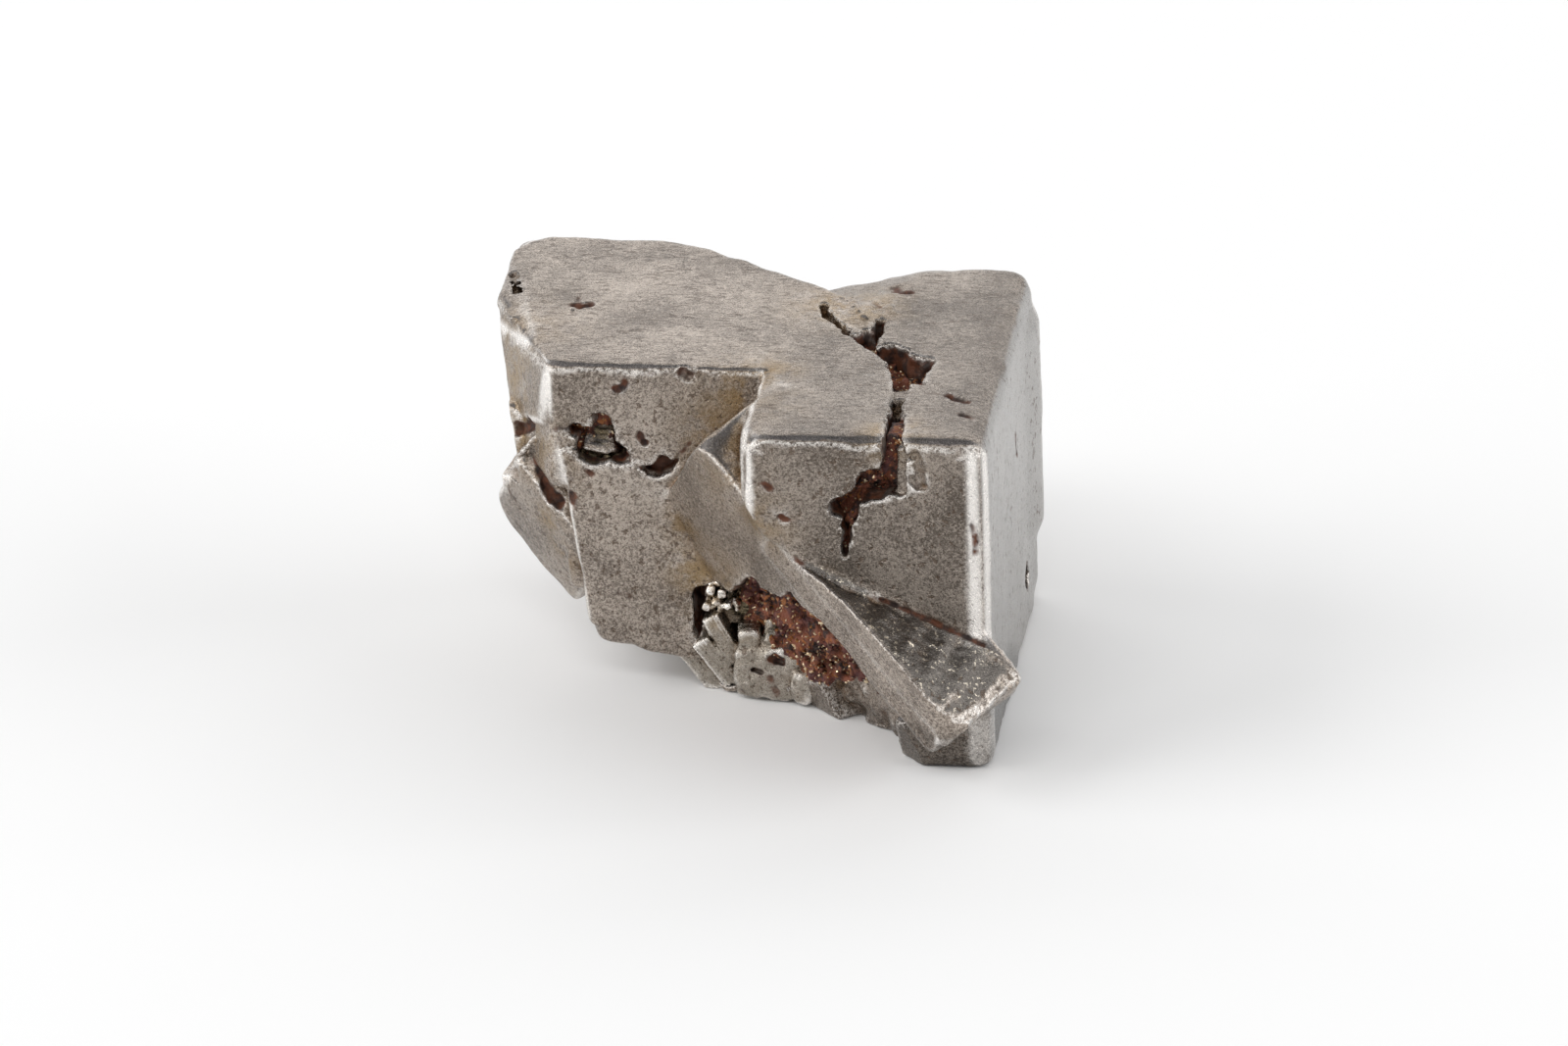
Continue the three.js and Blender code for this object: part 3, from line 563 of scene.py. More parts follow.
# Small marks: half of the width, how rusty it is from 0 to 1, and the points it runs through.
# A negative width is a raised ridge or bump.
MARKS = [
    # the rusty seam between the largest crystal and the slab
    (0.05, 1.0, [(-4.7, -0.16, 5.7), (-4.22, -0.16, 5.38), (-3.85, -0.16, 5.18),
                 (-3.49, -0.15, 5.0), (-2.9, -0.15, 4.8), (-2.3, -0.14, 4.58),
                 (-1.53, -0.12, 4.24), (-0.7, -0.12, 3.84), (0.05, -0.1, 3.5)]),
    # the crumbling recess and the slits at the right of its front, and its pits
    (0.16, 0.3, [(-1.6, -0.12, 8.55), (-1.5, -0.12, 8.25), (-1.42, -0.12, 7.8)]),
    (0.10, 0.5, [(-1.66, -0.05, 8.0), (-1.55, -0.05, 7.75)]),
    (0.05, 0.6, [(-0.45, -0.12, 8.15), (-0.2, -0.1, 7.85)]),
    (0.06, 0.8, [(-0.08, -0.05, 8.25), (-0.03, -0.05, 7.7)]),
    (0.09, 0.9, [(-0.2, -0.08, 6.75), (-0.06, -0.05, 6.35), (-0.13, -0.05, 6.0)]),
    (0.05, 0.9, [(-5.9, -0.13, 7.72), (-5.62, -0.18, 7.74), (-5.3, -0.16, 7.6)]),
    (0.07, 1.0, [(-5.4, -0.14, 7.72), (-5.25, -0.14, 7.6)]),
    (0.08, 1.0, [(-4.95, -0.13, 6.85), (-4.88, -0.13, 6.78)]),
    (0.045, 0.6, [(-2.16, -0.49, 4.21), (-1.83, -0.65, 3.89)]),
    # its right side
    (0.09, 0.7, [(0.14, 6.4, 6.45), (0.12, 6.45, 6.0), (0.13, 6.6, 5.8)]),
    (0.05, 0.8, [(0.13, 5.0, 5.0), (0.13, 5.05, 4.95)]),
    (0.14, 0.2, [(0.2, 11.2, 0.5), (0.0, 9.8, -0.1)]),
    # its top: two pits, the reddish one behind and a slot
    (0.10, 0.9, [(-1.12, 2.75, TOP), (-0.9, 2.5, TOP), (-0.62, 2.42, TOP)]),
    (0.11, 1.0, [(-0.62, 1.62, TOP), (-0.5, 1.55, TOP)]),
    (0.05, 1.0, [(-0.35, 1.5, TOP), (-0.3, 1.45, TOP)]),
    (0.12, 1.0, [(-3.45, 9.75, TOP), (-3.3, 9.35, TOP), (-2.95, 9.2, TOP)]),
    (0.06, 0.2, [(-4.15, 9.0, TOP), (-3.6, 8.2, TOP)]),
    (0.09, 0.5, [(-3.95, 10.2, TOP), (-4.3, 9.9, TOP)]),
    # the flat crystal: a pit in its top, its broken corner, and the pits of its front
    (0.15, 1.0, [(-11.4, 7.78, TOP), (-11.22, 7.72, TOP), (-11.08, 7.8, TOP)]),
    (0.06, 0.8, [(-11.45, 8.25, TOP), (-11.42, 8.1, TOP)]),
    (0.17, 0.5, [(-13.25, 9.35, 8.75), (-13.02, 8.6, 8.9)]),
    (0.10, 0.5, [(-13.4, 9.9, 8.95), (-13.3, 9.6, 9.0)]),
    (0.09, 1.0, [(-9.78, LEFT_FRONT, 8.38), (-9.66, LEFT_FRONT, 8.44), (-9.56, LEFT_FRONT, 8.56)]),
    (0.11, 0.9, [(-9.18, LEFT_FRONT, 7.05), (-9.15, LEFT_FRONT, 6.95)]),
    (0.13, 0.8, [(-8.08, LEFT_FRONT, 8.9), (-7.95, LEFT_FRONT, 8.82)]),
    (0.04, 0.6, [(-8.94, LEFT_FRONT, 8.86), (-8.8, LEFT_FRONT, 8.84)]),
    (0.17, 1.0, [(-12.75, 6.2, 6.2), (-12.4, 5.7, 6.5), (-12.15, 5.35, 6.8)]),
    (-0.07, 0, [(-12.1, 5.2, 6.45), (-12.5, 5.4, 5.95), (-12.85, 5.7, 5.3)]),
    (-0.06, 0, [(-12.35, 5.1, 5.7), (-12.0, 5.0, 5.4), (-11.65, 4.9, 5.05)]),
    (0.09, 0.8, [(-12.95, 6.9, 6.0), (-12.8, 6.6, 6.05)]),
    (0.10, 0.9, [(-12.95, 7.0, 5.3), (-12.85, 6.8, 5.2)]),
    # the seams between the fronts of the flat crystal and the one below it
    (0.05, 0.9, [(-11.55, 4.05, 7.12), (-11.3, 4.0, 7.22), (-11.0, 4.0, 7.2)]),
    (0.035, 0.8, [(-9.55, 4.0, 6.45), (-9.4, 4.0, 6.28), (-9.2, 4.0, 6.2)]),
    (0.035, 0.8, [(-8.3, 4.0, 6.5), (-8.1, 4.0, 6.75), (-7.95, 4.0, 6.95)]),
    # the lower left crystal
    (0.15, 0.9, [(-11.1, 3.98, 5.35), (-11.02, 3.95, 5.2)]),
    (0.07, 0.8, [(-10.6, 3.95, 6.05), (-10.5, 3.95, 6.0)]),
    (0.05, 0.8, [(-9.98, 3.9, 2.74), (-9.68, 3.9, 2.66)]),
    (0.08, 0.6, [(-9.64, 3.9, 2.66), (-9.6, 3.9, 2.6)]),
    # the gap above the blade at the far left, and the slits of the blade
    (0.13, 1.0, [(-12.35, 5.2, 5.85), (-12.0, 5.1, 5.35), (-11.75, 5.0, 4.85)]),
    (0.16, 1.0, [(-11.95, 5.0, 5.2), (-11.55, 4.9, 4.8)]),
    (0.04, 0.9, [(-13.08, 6.3, 4.42), (-12.8, 6.1, 4.02)]),
    (0.03, 0.8, [(-12.99, 6.68, 3.36), (-12.84, 6.6, 3.12)]),
    # behind
    (0.35, 0.5, [(-5.1, 11.1, 3.6), (-4.9, 11.1, 3.1)]),
    (0.28, 0.6, [(-10.5, 11.95, 7.6), (-10.2, 11.95, 7.5)]),
    (0.30, 0.5, [(-12.1, 12.35, 8.3), (-11.9, 12.35, 8.0)]),
    (0.35, 0.3, [(-0.1, 8.2, 1.7), (-0.1, 8.4, 1.5)]),
    # bright crumbs that stand proud: by the pits, the broken corner and the crack
    (-0.07, 0, [(-11.5, 7.5, TOP), (-11.42, 7.35, TOP)]),
    (-0.06, 0, [(-7.78, LEFT_FRONT, 9.0), (-7.7, LEFT_FRONT, 8.95)]),
    (-0.15, 0, [(-13.2, 8.1, 8.62), (-12.95, 7.4, 8.75)]),
    (-0.10, 0, [(-13.35, 8.9, 8.45), (-13.2, 8.3, 8.3)]),
    (-0.08, 0, [(-12.75, 6.9, 8.8), (-12.5, 6.4, 8.8)]),
    (-0.05, 0, [(-2.32, 0.25, 8.95), (-2.2, 0.15, 8.88)]),
    (-0.04, 0, [(-2.1, 0.35, 8.95), (-2.02, 0.15, 8.9)]),
    (-0.05, 0, [(-2.5, 0.05, 8.3), (-2.45, 0.05, 8.05)]),
    (-0.05, 0, [(-3.62, -0.02, 6.72), (-3.52, -0.02, 6.55)]),
    (-0.06, 0, [(-4.2, 10.3, TOP), (-3.9, 10.1, TOP)]),
    (-0.04, 0, [(-4.75, 8.9, TOP), (-4.5, 8.6, TOP), (-4.4, 8.9, TOP)]),
    (-0.035, 0, [(-3.35, 8.3, TOP), (-3.3, 7.9, TOP), (-3.1, 7.85, TOP)]),
    (-0.07, 0, [(-4.3, 8.2, TOP), (-4.1, 7.9, TOP)]),
    (-0.08, 0, [(-4.05, 7.7, TOP), (-3.85, 7.5, TOP)]),
]
for width, rusty, line in MARKS:
    reach = abs(width) + 0.25
    cells, places = metal.near(np.min(line, axis=0) - reach, np.max(line, axis=0) + reach, 0.45)
    away = np.min([rod_distance(places, a, b, abs(width)) for a, b in zip(line, line[1:])], axis=0)
    rough = 0.7 * lumps(places, 0.22, 61) + 0.4 * lumps(places, 0.11, 62)
    away = away + min(abs(width), 0.1) * rough
    if width > 0:
        metal.field[cells] = np.maximum(metal.field[cells], -away)
        metal.rust[cells] = np.minimum(metal.rust[cells], away + 0.06 * (1 - rusty))
    else:
        metal.field[cells] = np.minimum(metal.field[cells], away)

# the small slope of bare metal in the cleft, the lit wall in the crack, and the grooved floor
# of the left hollow
for wear, (faces, low, high) in [
    (0.04, crystal_faces((-2.62, -1.78), (2.5, 3.4), (7.6, 8.93), turn=(-12, 4, 14))),
    (0.03, crystal_faces((-2.02, -1.6), (0.1, 1.5), (7.3, 8.75), turn=(0, 3, -8))),
    (0.02, crystal_faces((-10.8, -10.1), (4.3, 5.5), (6.15, 7.0), turn=(-34, 8, 10))),
    (0.02, crystal_faces((-10.3, -9.85), (4.35, 5.5), (6.2, 6.8), turn=(-26, -14, -12))),
]:
    cells, places = metal.near(low, high, ANY_DISTANCE)
    grooves = 0.012 * np.sin(places @ np.array((9, 5, 52), np.float32))
    body = inside_faces(faces, places, wear) + grooves
    metal.field[cells] = np.minimum(metal.field[cells], body)
    metal.rust[cells] = np.where(body < 0.06, 0.4, metal.rust[cells])

# wear and corrosion: long low waves, dents, and the rough long facet of the slab
cells, places = metal.near(GRID_LOW, GRID_HIGH, 0.1)
placed = (places - SLAB_CORNER.astype(np.float32)) @ TWIN.T.astype(np.float32)
on_facet = (
    (places[:, 1] < -0.2) & (placed[:, 0] < 0.1) & (placed[:, 1] > 4.2) & (placed[:, 2] < -0.1)
)
metal.field[cells] += (
    0.03 * lumps(places, 1.5, 1)
    + 0.012 * lumps(places, 0.5, 2)
    + (0.008 + 0.03 * on_facet) * lumps(places, 0.2, 3)
)
# the flat foot on which the specimen rests
under_foot = int(round(-GRID_LOW[2] / STEP)) + 1
heights = np.arange(under_foot) * STEP + GRID_LOW[2]
metal.field[:, :, :under_foot] = np.maximum(
    metal.field[:, :, :under_foot], -heights.astype(np.float32)
)
metal.field = blurred(metal.field, 0.5)


def store(mesh, name, values):
    """Keeps one value for each point of a mesh, for its material to read."""
    made = mesh.attributes.new(name, "FLOAT", "POINT")
    made.data.foreach_set("value", np.ascontiguousarray(values, np.float32))


def ramp(values, low, high):
    """0 below low, 1 above high and smooth between them."""
    share = np.clip((values - low) / (high - low), 0, 1)
    return share * share * (3 - 2 * share)


# Golden stains: the middle of each, and how far it reaches
STAINS = [
    ((-6.4, 4.0, 8.2), 1.0), ((-5.8, 4.0, 8.7), 0.7), ((-7.1, 4.0, 7.2), 0.9),
    ((-7.4, 4.0, 6.4), 0.7), ((-7.7, 4.0, 3.4), 0.8), ((-8.0, 3.9, 4.8), 0.6),
    ((-12.8, 6.4, 7.6), 1.5), ((-12.6, 6.2, 6.3), 1.0), ((-11.7, 4.9, 6.3), 1.0),
    ((-11.8, 5.3, 4.2), 0.5), ((-11.6, 5.2, 3.2), 0.5), ((-5.9, 1.9, 7.6), 1.3),
    ((-5.7, 0.5, 6.5), 0.9), ((-4.4, 8.3, 9.0), 1.2), ((-7.3, 3.0, 3.0), 1.2),
    ((-2.2, 0.4, 9.0), 0.7), ((-6.1, 3.3, 9.0), 0.4),
]
# Dark grooved pockets: the middle and the reach of each
POCKETS = [((-10.35, 4.5, 6.65), 0.8), ((-5.75, 3.9, 1.75), 0.5), ((-6.75, 4.3, 2.4), 0.45),
           ((-4.3, 2.2, 1.1), 0.3), ((-2.45, 1.0, 1.0), 0.25)]


def without_specks(mesh):
    """Takes the loose specks off a mesh: only its largest connected part stays."""
    ends = np.empty(len(mesh.edges) * 2, np.int32)
    mesh.edges.foreach_get("vertices", ends)
    a, b = ends.reshape(-1, 2).T
    part = np.arange(len(mesh.vertices))
    while True:
        lower = np.minimum(part[a], part[b])
        joined = part.copy()
        np.minimum.at(joined, a, lower)
        np.minimum.at(joined, b, lower)
        joined = joined[joined]
        if np.array_equal(joined, part):
            break
        part = joined
    loose = np.nonzero(part != np.bincount(part).argmax())[0]
    work = bmesh.new()
    work.from_mesh(mesh)
    work.verts.ensure_lookup_table()
    bmesh.ops.delete(work, geom=[work.verts[int(n)] for n in loose], context="VERTS")
    work.to_mesh(mesh)
    work.free()


def finished_metal(grid, name, limit, wide_steps):
    """A piece of metal from its grid, thinned to a number of triangles, with what its material
    needs kept for each point: the wear of its rims and the thin rims by its hollows, both painted
    as highlights, how rusty and stained it is and which way it looks."""
    points, quads = surface_of(grid.field, grid.low, grid.step)
    mesh = bpy.data.meshes.new(name)
    mesh.from_pydata(points, [], quads)
    mesh.polygons.foreach_set("use_smooth", np.ones(len(quads), bool))
    piece = bpy.data.objects.new(name, mesh)
    bpy.context.scene.collection.objects.link(piece)
    thinning = piece.modifiers.new("thinning", "DECIMATE")
    thinning.ratio = min(1, limit / (len(quads) * 2))
    shown = piece.evaluated_get(bpy.context.evaluated_depsgraph_get())
    thinned = bpy.data.meshes.new_from_object(shown)
    piece.modifiers.clear()
    without_specks(thinned)
    piece.data = thinned
    places = np.empty(len(thinned.vertices) * 3, np.float32)
    thinned.vertices.foreach_get("co", places)
    places = places.reshape(-1, 3).astype(float)
    outward = np.empty(len(thinned.vertices) * 3, np.float32)
    thinned.vertices.foreach_get("normal", outward)
    outward = outward.reshape(-1, 3)
    wide = grid.value(blurred(np.clip(grid.field, -0.3, 0.3), wide_steps), places)
    # rounded rims, which the material paints near white: partly wear, partly a painted highlight
    store(thinned, "worn", ramp(wide, 0.008, 0.035))
    store(thinned, "rounded", ramp(wide, 0.004, 0.016))
    store(thinned, "crevice", ramp(-wide, 0.012, 0.06))
    narrow = grid.value(blurred(np.clip(grid.field, -0.2, 0.2), wide_steps / 2.5), places)
    near_rust = -grid.value(grid.rust, places)
    by_hollow = ramp(near_rust, -0.3, -0.14)
    # thin rims by the hollows, which the material paints near white: a painted highlight
    store(thinned, "thin", ramp(narrow, 0.006, 0.02) * by_hollow)
    pocket = np.zeros(len(places))
    for middle, reach in POCKETS:
        away = np.linalg.norm(places - middle, axis=1)
        pocket = np.maximum(pocket, ramp(-away, -reach, -0.7 * reach))
    store(thinned, "pocket", pocket * ramp(-narrow, -0.012, 0.0))
    store(thinned, "rust", ramp(near_rust, -0.045, 0.0))
    store(thinned, "rise", np.clip(outward[:, 2], 0, 1))
    store(thinned, "ahead", np.clip(-outward[:, 1], 0, 1))
    store(thinned, "right", ramp(outward[:, 0], 0.7, 0.95))
    gold = np.zeros(len(places))
    for middle, reach in STAINS:
        gold = np.maximum(gold, np.exp(-np.sum((places - middle) ** 2, axis=1) / reach**2))
    store(thinned, "gold", gold)
    thinned.vertices.foreach_set("co", to_part(places).astype(np.float32).ravel())
    thinned.update()
    return piece, places, outward


CRYSTALS_TRIANGLES = 196000
crystals, places, outward = finished_metal(metal, "crystals", CRYSTALS_TRIANGLES, 0.2 / STEP)
# the rims that wear has rounded are painted near white, partly real wear and partly a painted
# highlight: only the upright ones and those that look to the left shine
weights = 0
bright_total = 0
rims = np.zeros(len(places))
for number, (wear, bright, (faces, low, high)) in enumerate(SHOWN_CRYSTALS):
    away = np.stack([places @ normal - distance for normal, distance in faces], axis=1)
    order = np.argsort(-away, axis=1)[:, :2]
    reach = 1.2 * wear + 0.05
    near_edge = ramp(away[np.arange(len(places)), order[:, 1]], -reach, -0.35 * reach)
    normals = np.array([normal for normal, distance in faces])
    a, b = normals[order[:, 0]], normals[order[:, 1]]
    along = np.cross(a, b)
    along /= np.linalg.norm(along, axis=1)[:, None] + 1e-6
    shining = np.maximum(ramp(np.abs(along[:, 2]), 0.5, 0.9),
                         0.8 * ramp(-np.minimum(a[:, 0], b[:, 0]), 0.6, 0.9))
    off = np.abs(inside_faces(faces, places.astype(np.float32), wear))
    # the edges of the first cut of the largest crystal and of its shoulder are hidden inside it
    if number in (LARGEST, SHOULDER):
        shining = shining * np.all(order != FIRST_CUT, axis=1)
    if number == SHOULDER:
        shining = shining * (places[:, 0] < -5.2)
    rims = np.maximum(rims, np.exp(-off / 0.1) * near_edge * shining)
    weight = np.exp(-off / 0.08) + 1e-6
    weights = weights + weight
    bright_total = bright_total + weight * bright
placed = (places - SLAB_CORNER) @ TWIN.T
# the low end of the slab, its foot, is painted up to 45 percent darker: painted shade
foot = ramp(placed[:, 1], 8.2, 8.7) * ramp(-places[:, 2], -2.2, -1.6)
store(crystals.data, "bright", bright_total / weights * (1 - 0.45 * foot))
crystals.data.attributes.remove(crystals.data.attributes["worn"])
store(crystals.data, "worn", np.clip(1.6 * rims, 0, 1))
# the rough long facet of the slab, which the material paints dark with bright glints
facet = ramp(-places[:, 1], 0.1, 0.2) * ramp(outward[:, 2], 0.35, 0.55) * (placed[:, 1] > 3.8)
store(crystals.data, "facet", facet * ramp(-placed[:, 2], 0.04, 0.16))


def node(tree, kind, inputs=None, **settings):
    """A node of a material, with its settings, and its inputs linked or set."""
    made = tree.nodes.new(kind)
    for name, value in settings.items():
        setattr(made, name, value)
    for key, value in (inputs or {}).items():
        if isinstance(value, bpy.types.NodeSocket):
            tree.links.new(value, made.inputs[key])
        else:
            made.inputs[key].default_value = value
    return made


def math_node(tree, operation, a, b=0.0, clamp=False):
    made = node(tree, "ShaderNodeMath", {0: a, 1: b}, operation=operation, use_clamp=clamp)
    return made.outputs[0]


def times(tree, a, b):
    return math_node(tree, "MULTIPLY", a, b)


def plus(tree, a, b):
    return math_node(tree, "ADD", a, b)


def step_node(tree, value, low, high, start=0.0, end=1.0):
    """start where value is below low, end where it is above high, and a smooth change between."""
    ends = {"From Min": low, "From Max": high, "To Min": start, "To Max": end}
    return node(tree, "ShaderNodeMapRange", {"Value": value, **ends},
                interpolation_type="SMOOTHSTEP").outputs["Result"]


def fades(tree, value, low, high):
    """1 where value is below low, 0 where it is above high, and a smooth change between."""
    return step_node(tree, value, low, high, 1.0, 0.0)


def noise_node(tree, vector, scale, detail=2.0, roughness=0.5):
    return node(tree, "ShaderNodeTexNoise",
                {"Vector": vector, "Scale": scale, "Detail": detail, "Roughness": roughness}
                ).outputs["Fac"]


def number_mix(tree, share, a, b):
    return node(tree, "ShaderNodeMix", {0: share, 2: a, 3: b}).outputs[0]


def colour_mix(tree, share, a, b, kind="MIX"):
    made = node(tree, "ShaderNodeMix", data_type="RGBA", blend_type=kind)
    for key, value in ((0, share), (6, a), (7, b)):
        if isinstance(value, bpy.types.NodeSocket):
            tree.links.new(value, made.inputs[key])
        else:
            made.inputs[key].default_value = value if key == 0 else (*value, 1)
    return made.outputs[2]


def kept(tree, name):
    return node(tree, "ShaderNodeAttribute", attribute_name=name).outputs["Fac"]


def millimetres(tree, stretch=(1, 1, 1), slant=(0, 0, 0)):
    """Object coordinates in millimetres along the crystals' own axes."""
    place = node(tree, "ShaderNodeTexCoord").outputs["Object"]
    along = node(tree, "ShaderNodeMapping",
                 {"Vector": place, "Rotation": (0, 0, -TURN), "Scale": (1000, 1000, 1000)})
    if stretch == (1, 1, 1):
        return along.outputs["Vector"]
    return node(tree, "ShaderNodeMapping",
                {"Vector": along.outputs["Vector"], "Rotation": slant, "Scale": stretch}
                ).outputs["Vector"]


def metal_material(name, dark, light, stain_colour, rim_highlight_colour, small=False):
    """Worn metal: a fine grain, dashes on its tops, stains and rust, with painted light: rims
    painted near white as wear and highlight, a painted dark strip and highlight line under the
    edges of tops, a lighter right side, painted shade and glints on the rough facet, and painted
    gleams on the small crystals.
    """
    made = bpy.data.materials.new(name)
    made.use_nodes = True
    tree = made.node_tree
    shader = tree.nodes["Principled BSDF"]
    plain = millimetres(tree)
    rise, right = kept(tree, "rise"), kept(tree, "right")
    top = step_node(tree, rise, 0.75, 0.95)
    broad = noise_node(tree, plain, 0.5, 3)
    grain = noise_node(tree, plain, 11.0, 4, 0.8)
    fine = noise_node(tree, plain, 24.0, 2, 0.7)
    flow = noise_node(tree, millimetres(tree, (2.2, 8.0, 8.0), (0, 0, 0.25)), 1.7, 4, 0.8)
    down = noise_node(tree, millimetres(tree, (9.0, 9.0, 0.9)), 1.6, 3, 0.65)
    texture = number_mix(tree, times(tree, top, 0.6), grain, flow)
    texture = number_mix(tree, right, texture, down)
    if small:
        patches = noise_node(tree, plain, 3.2, 3, 0.6)
        gleam_patches = kept(tree, "gleam_patches")
        texture = number_mix(tree, gleam_patches, texture, patches)
    tone = plus(tree, times(tree, broad, 0.2), times(tree, texture, 0.5))
    tone = plus(tree, tone, times(tree, fine, 0.3))
    spread = 0.12 if small else 0.08
    colour = colour_mix(tree, step_node(tree, tone, 0.5 - spread, 0.5 + spread), dark, light)
    # near-white gleams on the small crystals are painted highlights, beside dark brown patches
    if small:
        gleams = colour_mix(tree, step_node(tree, tone, 0.45, 0.52), (0.14, 0.10, 0.06),
                            (0.92, 0.86, 0.76))
        colour = colour_mix(tree, times(tree, gleam_patches, 0.85), colour, gleams)
    # hair-fine scratches, long on the tops and short elsewhere
    hair = noise_node(tree, millimetres(tree, (1.3, 6.0, 6.0), (0, 0, 0.28)), 1.3, 3, 0.6)
    breaks = noise_node(tree, plain, 2.6, 2, 0.5)
    hair = math_node(tree, "ABSOLUTE", math_node(tree, "SUBTRACT", hair, 0.5))
    hair = times(tree, fades(tree, hair, 0.008, 0.02), step_node(tree, breaks, 0.46, 0.52))
    hair = times(tree, hair, number_mix(tree, top, 0.35, 0.9))
    colour = colour_mix(tree, times(tree, hair, 0.9), colour, (0.07, 0.052, 0.038))
    # faces that look to the right are painted a lighter grey: painted light on that side
    colour = colour_mix(tree, times(tree, right, 0.82), colour, (0.44, 0.43, 0.42))
    if not small:
        shade = node(tree, "ShaderNodeCombineColor",
                     {n: kept(tree, "bright") for n in range(3)}).outputs[0]
        colour = colour_mix(tree, 1.0, colour, shade, "MULTIPLY")
        # the rough facet is painted dark, partly its rough metal and partly painted shade, with
        # painted glints as highlights
        facet = kept(tree, "facet")
        glints = step_node(tree, noise_node(tree, plain, 7.0, 3, 0.7), 0.58, 0.66)
        facet_shade_and_glints = colour_mix(tree, glints, (0.17, 0.155, 0.142), (0.90, 0.81, 0.67))
        colour = colour_mix(tree, times(tree, facet, 0.97), colour, facet_shade_and_glints)
    stain_noise = noise_node(tree, plain, 1.6, 4, 0.65)
    gold = times(tree, kept(tree, "gold"), step_node(tree, stain_noise, 0.36, 0.58))
    colour = colour_mix(tree, times(tree, gold, 0.85), colour, stain_colour)
    brown = times(tree, kept(tree, "crevice"), step_node(tree, stain_noise, 0.34, 0.55))
    colour = colour_mix(tree, times(tree, brown, 0.85), colour, (0.13, 0.075, 0.035))
    stripes = noise_node(tree, millimetres(tree, (2.0, 9.0, 14.0)), 1.3, 2, 0.5)
    stripes = step_node(tree, stripes, 0.42, 0.6)
    olive = colour_mix(tree, stripes, (0.025, 0.019, 0.011), (0.21, 0.17, 0.11))
    colour = colour_mix(tree, kept(tree, "pocket"), colour, olive)
    dash_noise = noise_node(tree, millimetres(tree, (1.5, 7.0, 7.0), (0, 0, 0.3)), 1.6, 2, 0.55)
    speck_noise = noise_node(tree, plain, 5.0, 2, 0.6)
    dashes = step_node(tree, number_mix(tree, top, speck_noise, dash_noise), 0.605, 0.66)
    colour = colour_mix(tree, times(tree, dashes, 0.7), colour, (0.10, 0.065, 0.042))
    rim_noise = plus(tree, times(tree, grain, 0.6), times(tree, broad, 0.4))
    rim_noise = step_node(tree, rim_noise, 0.42, 0.58)
    # painted light under the edge of a top: the rounding is painted dark, a painted reflection of
    # the dark room overhead, and below that there is a thin painted highlight line
    if not small:
        ahead = times(tree, kept(tree, "rounded"), step_node(tree, kept(tree, "ahead"), 0.2, 0.4))
        painted_dark_band = times(tree, step_node(tree, rise, 0.45, 0.6), fades(tree, rise, 0.95, 0.985))
        painted_dark_band = times(tree, painted_dark_band, times(tree, ahead, fades(tree, facet, 0.2, 0.5)))
        painted_dark_band = times(tree, painted_dark_band, step_node(tree, fine, 0.3, 0.5, 0.65, 1.0))
        colour = colour_mix(tree, times(tree, painted_dark_band, 0.85), colour, (0.085, 0.082, 0.085))
        # the thin bright line below it is a painted highlight in the rim colour
        line = times(tree, step_node(tree, rise, 0.06, 0.2), fades(tree, rise, 0.3, 0.45))
        line = times(tree, times(tree, line, ahead), step_node(tree, grain, 0.4, 0.55))
        colour = colour_mix(tree, times(tree, line, 0.6), colour, rim_highlight_colour)
    # rims, and the thin rims by the hollows, are painted in the rim colour: partly real wear,
    # partly a painted highlight
    worn = kept(tree, "worn")
    if small:
        worn = times(tree, worn, step_node(tree, rim_noise, 0.0, 1.0, 0.45, 1.0))
    else:
        worn = times(tree, worn, number_mix(tree, worn, rim_noise, 1.0))
        thin = times(tree, kept(tree, "thin"), step_node(tree, rim_noise, 0.3, 0.8))
        thin = times(tree, thin, step_node(tree, rise, 0.3, 0.6, 0.55, 0.25))
        worn = math_node(tree, "MAXIMUM", worn, thin)
    colour = colour_mix(tree, times(tree, worn, 0.95), colour, rim_highlight_colour)
    rust_share = kept(tree, "rust")
    rust_noise = noise_node(tree, plain, 2.6, 4, 0.65)
    rusty = colour_mix(tree, step_node(tree, rust_noise, 0.38, 0.62), (0.022, 0.009, 0.006),
                       (0.13, 0.042, 0.017))
    colour = colour_mix(tree, rust_share, colour, rusty)
    tree.links.new(colour, shader.inputs["Base Color"])
    dull = plus(tree, times(tree, rust_share, 0.85), times(tree, dashes, 0.35))
    metallic = math_node(tree, "SUBTRACT", 1.0, dull, clamp=True)
    tree.links.new(metallic, shader.inputs["Metallic"])
    rough = step_node(tree, fine, 0.3, 0.7, 0.20, 0.34)
    rough = plus(tree, rough, times(tree, rust_share, 0.3))
    rough = math_node(tree, "SUBTRACT", rough, times(tree, worn, 0.04), clamp=True)
    tree.links.new(rough, shader.inputs["Roughness"])
    height = plus(tree, times(tree, texture, 0.7), times(tree, fine, 0.4))
    height = math_node(tree, "SUBTRACT", height, times(tree, dashes, 0.4))
    bump = node(tree, "ShaderNodeBump", {"Height": height, "Strength": 0.7, "Distance": 0.00006})
    tree.links.new(bump.outputs["Normal"], shader.inputs["Normal"])
    return made


worn_metal = metal_material("worn_platinum_metal", (0.135, 0.112, 0.094), (0.43, 0.372, 0.322),
                            (0.31, 0.21, 0.10), (0.95, 0.91, 0.87))
crystals.data.materials.clear()
crystals.data.materials.append(worn_metal)
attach(crystals, "root")
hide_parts("crystal_cluster")

# The small crystals under the slab
# Bright little cubes, laths and thin plates of the same metal at the foot of the hollow, some of
# them grooved. They grew out of the large crystals, which they stand in, so they have no fixing.
SMALL_STEP = 0.032
SMALL_LOW = np.array((-9.0, -0.4, -0.16))
SMALL_HIGH = np.array((-1.4, 7.2, 3.6))
small = Grid(SMALL_LOW, SMALL_HIGH, SMALL_STEP)


def plain_crystal(wear, u, v, w, turn, at=(0, 0, 0)):
    """A small crystal without grooves."""
    return wear, 0, 0, 0, crystal_faces(u, v, w, at=at, turn=turn)


